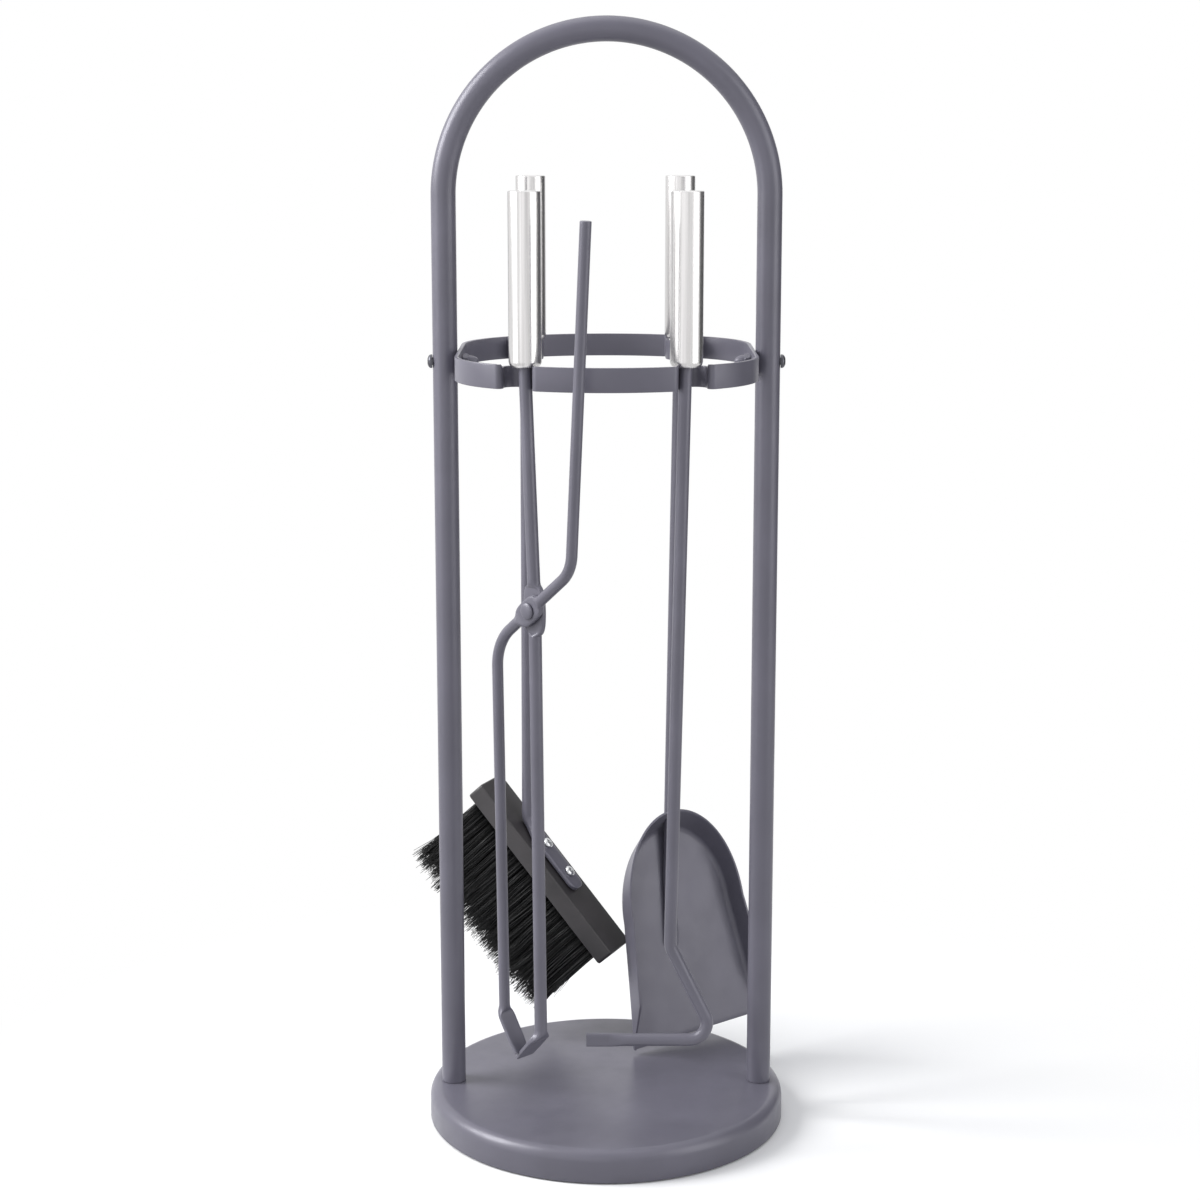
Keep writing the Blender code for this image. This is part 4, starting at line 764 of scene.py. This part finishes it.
shovelPan = settle("shovelPan", panMesh(pan), slate, "shovel", "shovel_pan", 180.0)
sheet = shovelPan.modifiers.new("sheet", "SOLIDIFY")
sheet.thickness = pan["sheet"]
sheet.offset = -1.0
sheet.use_even_offset = True
rolled = shovelPan.modifiers.new("rolledEdge", "BEVEL")
rolled.width = pan["rolledEdge"]
rolled.segments = pan["rolledRows"]
rolled.limit_method = "ANGLE"
rolled.angle_limit = math.radians(pan["rolledTurn"])

# end, tip and point hold where a change starts and how long it is, as shares of the way down the pan
stem = dict(top=(0.0010, 0.1120, 0.0042), foot=(-0.0084, 0.0500), settle=(0.14, 0.34),
            halfW=0.0036, halfT=0.0018, bend=0.0140, end=(0.97, 0.03), tip=(0.93, 0.07), narrow=0.80,
            point=(0.985, 0.015), draw=0.0006, square=2.0, rows=60, endRows=12, backRows=20)


def stemSpot(v, t):
    # place on the pan floor between the rod's entry and its end
    top = np.array(v["top"][:2])
    return top + (np.array(v["foot"]) - top) * np.asarray(t, float)[..., None]


def stemSurface(v):
    # round down to the pan, then pressed flat while its underside stays just above the floor
    x, y = plans["shovel"]
    landing = stemSpot(v, v["settle"][0])
    corners = [(x, y, rodTop), (x, y, rodKnee), panPoint(*v["top"]), panPoint(*landing, rodRadius + gap)]
    upper, d, total = spaced(filleted(corners, [0.0, v["bend"]]))
    draw = rounding(d, 2.0 * total)
    start, length = v["end"]
    even = np.linspace(v["settle"][0], start, v["rows"])[1:]
    last = start + length * np.sin(np.linspace(0.0, math.pi / 2.0, v["endRows"]))[1:]
    t = np.concatenate([even, last])
    flat = smooth((t - v["settle"][0]) / (v["settle"][1] - v["settle"][0]))
    close = np.clip((t - v["tip"][0]) / v["tip"][1], 0.0, 1.0)
    depth = rodRadius + (v["halfT"] - rodRadius) * flat
    width = (rodRadius + (v["halfW"] - rodRadius) * flat) * np.sqrt(1.0 - v["narrow"] * close ** 2)
    spot = stemSpot(v, t)
    path = np.concatenate([upper, panPoint(spot[:, 0], spot[:, 1], depth + gap)])
    thin = depth - v["draw"] * np.clip((t - v["point"][0]) / v["point"][1], 0.0, 1.0) ** 2
    depth = np.concatenate([rodRadius - draw, thin])
    width = np.concatenate([rodRadius - draw, width])
    power = np.concatenate([np.full(len(upper), 2.0), 2.0 + v["square"] * flat])
    across = np.cross(panN, path[-1] - path[-v["backRows"]])
    return closedGrid(carried(path, across, depth, width, power))


makePiece("shovelRod", stemSurface(stem), slate, "shovel", "shovel_rod")

panRivet = dict(radius=0.0015, headRadius=0.0028, headHeight=0.0011, at=dict(upper=0.58, lower=0.84), segs=48)
rivetRows = rivetProfile(panRivet, -pan["sheet"] - gap, 2.0 * stem["halfT"] + 2.0 * gap)
for label, place in panRivet["at"].items():
    rivetData = turned(rivetRows, panRivet["segs"], panPoint(*stemSpot(stem, place), 0.0), panN)
    makePiece("shovelRivet_" + label, rivetData, slate, "shovel", "shovel_rivet_" + label)
print("stage 7: shovel")

# brush: a rod pressed into a tongue, screwed to a block that holds the bristles
broom = dict(step=(-0.0434, 0.3900), turn=math.radians(24.3), tilt=math.radians(42.3),
             centre=(-0.0282, 0.0670, 0.1187))


def broomAxes(v):
    # along the block, across it, and out of its back face
    u = np.array([math.cos(v["turn"]), -math.sin(v["turn"]), 0.0])
    across = np.array([math.sin(v["turn"]), math.cos(v["turn"]), 0.0])
    along = u * math.sin(v["tilt"]) - upward * math.cos(v["tilt"])
    return along, across, u * math.cos(v["tilt"]) + upward * math.sin(v["tilt"])


broomAlong, broomAcross, broomOut = broomAxes(broom)


def broomPoint(along, across, lift):
    # centre + a along + w across + t lift, for single values or whole arrays
    along, across, lift = (np.asarray(s, float)[..., None] for s in (along, across, lift))
    return np.array(broom["centre"]) + broomAlong * along + broomAcross * across + broomOut * lift


tongue = dict(halfW=0.0063, halfT=0.0015, start=-0.0294, end=0.0192, settle=0.0110, lead=0.0090, press=0.0110,
              tip=0.0050, narrow=0.86, square=2.5, bends=(0.0060, 0.0060, 0.0060, 0.0150), every=0.002,
              fineTail=0.007, segs=48)


def tongueSurface(v):
    # rod with a side step, bent onto the block and pressed into a round-ended tongue
    x, y = plans["brush"]
    low = gap + v["halfT"]
    corners = [(x, y, rodTop), (x, y, rodKnee), (broom["step"][0], y, broom["step"][1]),
               broomPoint(v["start"], 0.0, rodRadius + gap), broomPoint(v["start"] + v["settle"], 0.0, low),
               broomPoint(v["end"], 0.0, low)]
    path, d, total = spaced(filleted(corners, v["bends"]), every=v["every"], tail=v["fineTail"])
    tail = v["end"] - v["start"] - v["settle"]
    flat = smooth((d - total + tail + v["lead"]) / v["press"])
    close = np.clip((d - total + v["tip"]) / v["tip"], 0.0, 1.0)
    width = rodRadius + (v["halfW"] - rodRadius) * flat
    halfAcross = width * np.sqrt(1.0 - v["narrow"] * close ** 2) - rounding(d, total)
    halfIn = rodRadius + (v["halfT"] - rodRadius) * flat - rounding(d, total)
    return closedGrid(carried(path, broomAcross, halfIn, halfAcross, 2.0 + v["square"] * flat, v["segs"]))


makePiece("brushRod", tongueSurface(tongue), slate, "brush", "brush_rod")

block = dict(length=0.1190, width=0.0250, thick=0.0110, edge=0.0008, corner=0.0015, edgeRows=6, cornerRows=6)


def blockSurface(v):
    # rounded rectangle drawn in by edge * (1 - cos a) towards its top and bottom faces
    a = np.radians(np.linspace(90.0, 0.0, v["edgeRows"]))
    lower = v["edge"] * (1.0 - np.sin(a))
    inset = v["edge"] * (1.0 - np.cos(a))
    lift = np.concatenate([-lower, (-v["thick"] + lower)[::-1]])
    inset = np.concatenate([inset, inset[::-1]])
    loop = roundedRect(v["length"] / 2.0, v["width"] / 2.0, v["corner"], v["cornerRows"])
    scale = [v["length"] / 2.0, v["width"] / 2.0]
    spots = loop * (1.0 - inset[:, None, None] / scale)
    return closedGrid(broomPoint(spots[..., 0], spots[..., 1], lift[:, None] * np.ones(len(loop))))


makePiece("brushBlock", blockSurface(block), mould, "brush", "brush_block")

screw = dict(at=dict(upper=-0.0112, lower=0.0087), radius=0.0017, head=0.0031, height=0.0020, rim=0.0004,
             crown=0.8, sunk=0.0080, arm=0.0019, armEdge=0.0003, slotHalf=0.00038, slotEdge=0.00016,
             slotDepth=0.0011, slotRise=0.35, domeTurn=1.5, rings=40, segs=96)


def slotBar(v, beside, along):
    # 1 within one bar of the plus, easing to 0 at its sides and ends
    side = smooth((v["slotHalf"] - beside) / v["slotEdge"] + 0.5)
    return side * smooth((v["arm"] - along) / v["armEdge"] + 0.5)


def screwSurface(v, along):
    # shank, flat seat, and a dome of height h (1 - r^2)^0.4 with a plus-shaped recess cut into it
    seat = 2.0 * gap + 2.0 * tongue["halfT"]
    dome = v["head"] * np.cos(np.linspace(0.0, v["domeTurn"], v["rings"]))
    radius = np.concatenate([[finePole, v["radius"], v["radius"], v["head"]], dome])
    a = 2.0 * math.pi * np.arange(v["segs"]) / v["segs"]
    swell = np.sqrt(np.clip(1.0 - (radius / v["head"]) ** 2, 0.0, 1.0)) ** v["crown"]
    lift = seat + v["rim"] + (v["height"] - v["rim"]) * swell
    lift[:4] = [-v["sunk"], -v["sunk"], seat, seat]
    flatX = radius[:, None] * np.cos(a)
    flatY = radius[:, None] * np.sin(a)
    x, y = np.abs(flatX), np.abs(flatY)
    recess = np.maximum(slotBar(v, x, y), slotBar(v, y, x))
    recess[:4] = 0.0
    height = lift[:, None] - v["slotDepth"] * recess * (1.0 - v["slotRise"] * np.hypot(x, y) / v["arm"])
    return closedGrid(broomPoint(along + flatX, flatY, height))


for label, place in screw["at"].items():
    screwData = screwSurface(screw, place)
    makePiece("brushScrew_" + label, screwData, zinc, "brush", "brush_screw_" + label, sharp=50.0)

bristle = dict(tuftsAlong=24, tuftsAcross=6, perTuft=36, length=0.0545, halfRoot=(0.0518, 0.0094),
               halfTip=(0.0545, 0.0142), tuft=0.0027, atRoot=0.8, atTip=1.1, thick=0.00026, thinning=0.55,
               sunk=0.0006, rows=5, sides=3, seed=11)
# how unruly the fibres are: spreads in metres along and across the block, then shares of the length
ruffle = dict(lean=(0.0016, 0.0014), fray=(0.0011, 0.0010), inset=(0.0022, 0.0018), drift=(0.0010, 0.0),
              bow=0.0009, hook=0.0014, splay=1.3, usual=0.955, byTuft=0.022, byFibre=0.028, shortest=0.80,
              worn=0.05, wornFrom=0.80, wornOver=0.2, shade=(1.6, 3.4), tuftShade=0.25, shadeSpread=0.4)


def bristleSurface(v, loose):
    # each fibre: root + (tip - root) t^1.3 + bow (t^2 - t) + hook t^4, a three-sided section
    # that thins towards the tip
    rng = np.random.default_rng(v["seed"])
    tufts = v["tuftsAlong"] * v["tuftsAcross"]
    count = tufts * v["perTuft"]
    steps = [np.linspace(-1.0, 1.0, v["tuftsAlong"]), np.linspace(-1.0, 1.0, v["tuftsAcross"])]
    tuftSpot = np.stack(np.meshgrid(*steps, indexing="ij"), axis=-1).reshape(-1, 2)
    tuftLean = rng.normal(0.0, 1.0, (tufts, 2)) * loose["lean"]
    tuftLength = rng.normal(0.0, loose["byTuft"], tufts)
    owner = np.repeat(np.arange(tufts), v["perTuft"])
    place = tuftSpot[owner]
    spin = rng.uniform(0.0, 2.0 * math.pi, count)
    spot = np.sqrt(rng.uniform(0.0, 1.0, count))[:, None] * np.stack([np.cos(spin), np.sin(spin)], axis=1)
    root = place * v["halfRoot"] + spot * v["tuft"] * v["atRoot"]
    fray = rng.normal(0.0, 1.0, (count, 2)) * loose["fray"]
    half = np.array(v["halfTip"])
    tip = place * (half - loose["inset"]) + spot * v["tuft"] * v["atTip"] + tuftLean[owner] + fray
    tip = np.clip(tip, -half, half) + loose["drift"]
    bow = rng.normal(0.0, 1.0, (count, 2)) * loose["bow"]
    share = loose["usual"] + tuftLength[owner] + rng.normal(0.0, loose["byFibre"], count)
    share = share - loose["worn"] * smooth((place[:, 0] - loose["wornFrom"]) / loose["wornOver"])
    long = v["length"] * np.clip(share, loose["shortest"], 1.0)
    t = np.linspace(0.0, 1.0, v["rows"])[:, None, None]
    hook = rng.normal(0.0, 1.0, (count, 2)) * loose["hook"]
    plan = root + (tip - root) * t ** loose["splay"] + bow * (t ** 2 - t) + hook * t ** 4
    lift = -block["thick"] + v["sunk"] - (long[:, None] + v["sunk"]) * t
    around = 2.0 * math.pi * np.arange(v["sides"]) / v["sides"] + rng.uniform(0.0, 2.0, count)[:, None]
    radius = v["thick"] * (1.0 - v["thinning"] * t ** 3)
    points = broomPoint(plan[..., :1] + radius * np.cos(around), plan[..., 1:] + radius * np.sin(around),
                        lift + np.zeros(v["sides"]))
    size = v["rows"] * v["sides"]
    first = (np.arange(count) * size)[:, None, None]
    quads = gridQuads(v["rows"], v["sides"], False, True) + first
    ends = np.array([[2, 1, 0], [size - 3, size - 2, size - 1]]) + first
    shade = rng.beta(*loose["shade"], count)
    shade = shade + loose["tuftShade"] * rng.normal(0.0, loose["shadeSpread"], tufts)[owner]
    points = points.transpose(1, 0, 2, 3).reshape(-1, 3)
    return points, quads.reshape(-1, 4), ends.reshape(-1, 3), np.repeat(np.clip(shade, 0.0, 1.0), size)


def bristleMesh(v, loose):
    # all fibres in one mesh, with the shade of each as a point attribute
    points, quads, ends, shade = bristleSurface(v, loose)
    mesh = bpy.data.meshes.new("brushBristles")
    mesh.from_pydata(points, [], quads.tolist() + ends.tolist())
    work = bmesh.new()
    work.from_mesh(mesh)
    bmesh.ops.recalc_face_normals(work, faces=work.faces)
    work.to_mesh(mesh)
    work.free()
    mesh.attributes.new("shade", "FLOAT", "POINT").data.foreach_set("value", shade.astype(np.float32))
    return mesh


settle("brushBristles", bristleMesh(bristle, ruffle), fibre, "brush", "brush_bristles", 180.0)
print("stage 8: brush")

# studio: fade is where the pale floor turns into plain white, measured from the stand's middle
studio = dict(reach=3.0, floorZ=-0.0004, soft=0.59, softTint=(0.93, 0.95, 1.0), pale=(0.86, 0.86, 0.86),
              paleRough=0.9, bounce=(0.38, 0.38, 0.38), fade=(0.17, 0.38))


def lightMix(tree, other, chosen):
    # camera, glossy and transmission rays see the chosen shader, the rest see the other:
    # the mix is the largest of the three ray flags
    path = tree.nodes.new("ShaderNodeLightPath")
    seen = path.outputs["Is Camera Ray"]
    for ray in ("Is Glossy Ray", "Is Transmission Ray"):
        larger = addNode(tree, "Math", {0: seen, 1: path.outputs[ray]})
        larger.operation = "MAXIMUM"
        seen = larger.outputs["Value"]
    return addNode(tree, "MixShader", {0: seen, 1: other, 2: chosen}).outputs["Shader"]


def makeWorld(v):
    # white where it is seen or mirrored, and softer where it only lights the object
    world = bpy.data.worlds.new("studioWorld")
    world.use_nodes = True
    bpy.context.scene.world = world
    tree = world.node_tree
    soft = addNode(tree, "Background", dict(Color=(*v["softTint"], 1.0), Strength=v["soft"]))
    bright = addNode(tree, "Background", dict(Color=(1.0, 1.0, 1.0, 1.0), Strength=1.0))
    seen = lightMix(tree, soft.outputs["Background"], bright.outputs["Background"])
    tree.links.new(seen, tree.nodes["World Output"].inputs["Surface"])


def floorFinish(v):
    # far from the stand the floor is seen as plain white, close by as a lit floor with its shadow;
    # light that only bounces off it meets a darker floor
    mat, pale, coords = newFinish("paleFloor", v["pale"], 0.0, v["paleRough"])
    tree = mat.node_tree
    white = addNode(tree, "Emission", dict(Strength=1.0))
    dim = addNode(tree, "BsdfDiffuse", dict(Color=(*v["bounce"], 1.0)))
    away = addNode(tree, "VectorMath", {0: coords})
    away.operation = "LENGTH"
    ends = {"From Min": v["fade"][0], "From Max": v["fade"][1]}
    fade = addNode(tree, "MapRange", dict(Value=away.outputs["Value"], **ends))
    fade.interpolation_type = "SMOOTHSTEP"
    share = {0: fade.outputs["Result"], 1: pale.outputs["BSDF"], 2: white.outputs["Emission"]}
    far = addNode(tree, "MixShader", share)
    seen = lightMix(tree, dim.outputs["BSDF"], far.outputs["Shader"])
    tree.links.new(seen, tree.nodes["Material Output"].inputs["Surface"])
    return mat


def flatSheet(name, along, rise, mat):
    # rectangle spanned by its two half sides
    mesh = bpy.data.meshes.new(name)
    corners = [-along - rise, along - rise, along + rise, -along + rise]
    mesh.from_pydata([tuple(p) for p in corners], [], [(0, 1, 2, 3)])
    mesh.materials.append(mat)
    return mesh


def addStage(name, data, place, shown=False):
    # stage object at its place, shown to the camera or not
    obj = bpy.data.objects.new(name, data)
    obj.location = place
    obj.visible_camera = shown
    bpy.context.scene.collection.objects.link(obj)
    return obj


makeWorld(studio)
floorSides = np.array([[studio["reach"], 0.0, 0.0], [0.0, studio["reach"], 0.0]])
floorMesh = flatSheet("floor", *floorSides, floorFinish(studio))
addStage("floor", floorMesh, (0.0, 0.0, studio["floorZ"]), shown=True)

aim = np.array([0.0, 0.0, 0.28])
lights = dict(key=dict(place=(-1.35, -0.05, 1.15), size=(0.9, 1.0), power=34.0),
              side=dict(place=(-1.30, -0.55, 0.25), size=(0.8, 1.2), power=4.0),
              fill=dict(place=(1.30, -0.70, 0.70), size=(0.9, 1.5), power=9.0),
              top=dict(place=(0.0, 0.25, 1.9), size=(1.4, 1.4), power=6.0),
              front=dict(place=(-0.66, -1.80, 0.42), size=(1.3, 1.4), power=2.6))


def addLight(name, v):
    # rectangular soft light turned towards the aim
    lamp = bpy.data.lights.new(name, "AREA")
    lamp.shape = "RECTANGLE"
    lamp.size, lamp.size_y = v["size"]
    lamp.energy = v["power"]
    toward = aim - v["place"]
    flat = math.hypot(toward[0], toward[1])
    obj = addStage(name, lamp, v["place"])
    obj.rotation_euler = (math.atan2(flat, -toward[2]), 0.0, math.atan2(-toward[0], toward[1]))


for lightName, light in lights.items():
    addLight(lightName, light)

flag = dict(place=(0.95, 0.55, 0.6), half=(0.55, 0.7), turn=-62.0, shade=(0.05, 0.05, 0.05), rough=0.5)


def addFlag(v):
    # upright dark card beside the view, which gives the polished handles their dark edge
    mat = newFinish("flagCloth", v["shade"], 0.0, v["rough"])[0]
    a = math.radians(v["turn"])
    along = np.array([math.cos(a), math.sin(a), 0.0]) * v["half"][0]
    addStage("darkFlag", flatSheet("darkFlag", along, upward * v["half"][1], mat), v["place"])


addFlag(flag)

shot = dict(place=(-0.0047, -1.2541, 0.5367), tilt=-0.1998, twist=-0.0011, lens=73.602, sensor=36.0)


def addCamera(v):
    # level camera tilted about X and twisted about Z
    lens = bpy.data.cameras.new("camera")
    lens.lens = v["lens"]
    lens.sensor_width = v["sensor"]
    camera = bpy.data.objects.new("camera", lens)
    camera.location = v["place"]
    camera.rotation_euler = (math.pi / 2.0 + v["tilt"], 0.0, v["twist"])
    bpy.context.scene.collection.objects.link(camera)
    bpy.context.scene.camera = camera


addCamera(shot)
bpy.context.scene.view_settings.view_transform = "Standard"
print("stage 9: floor, lights and camera")
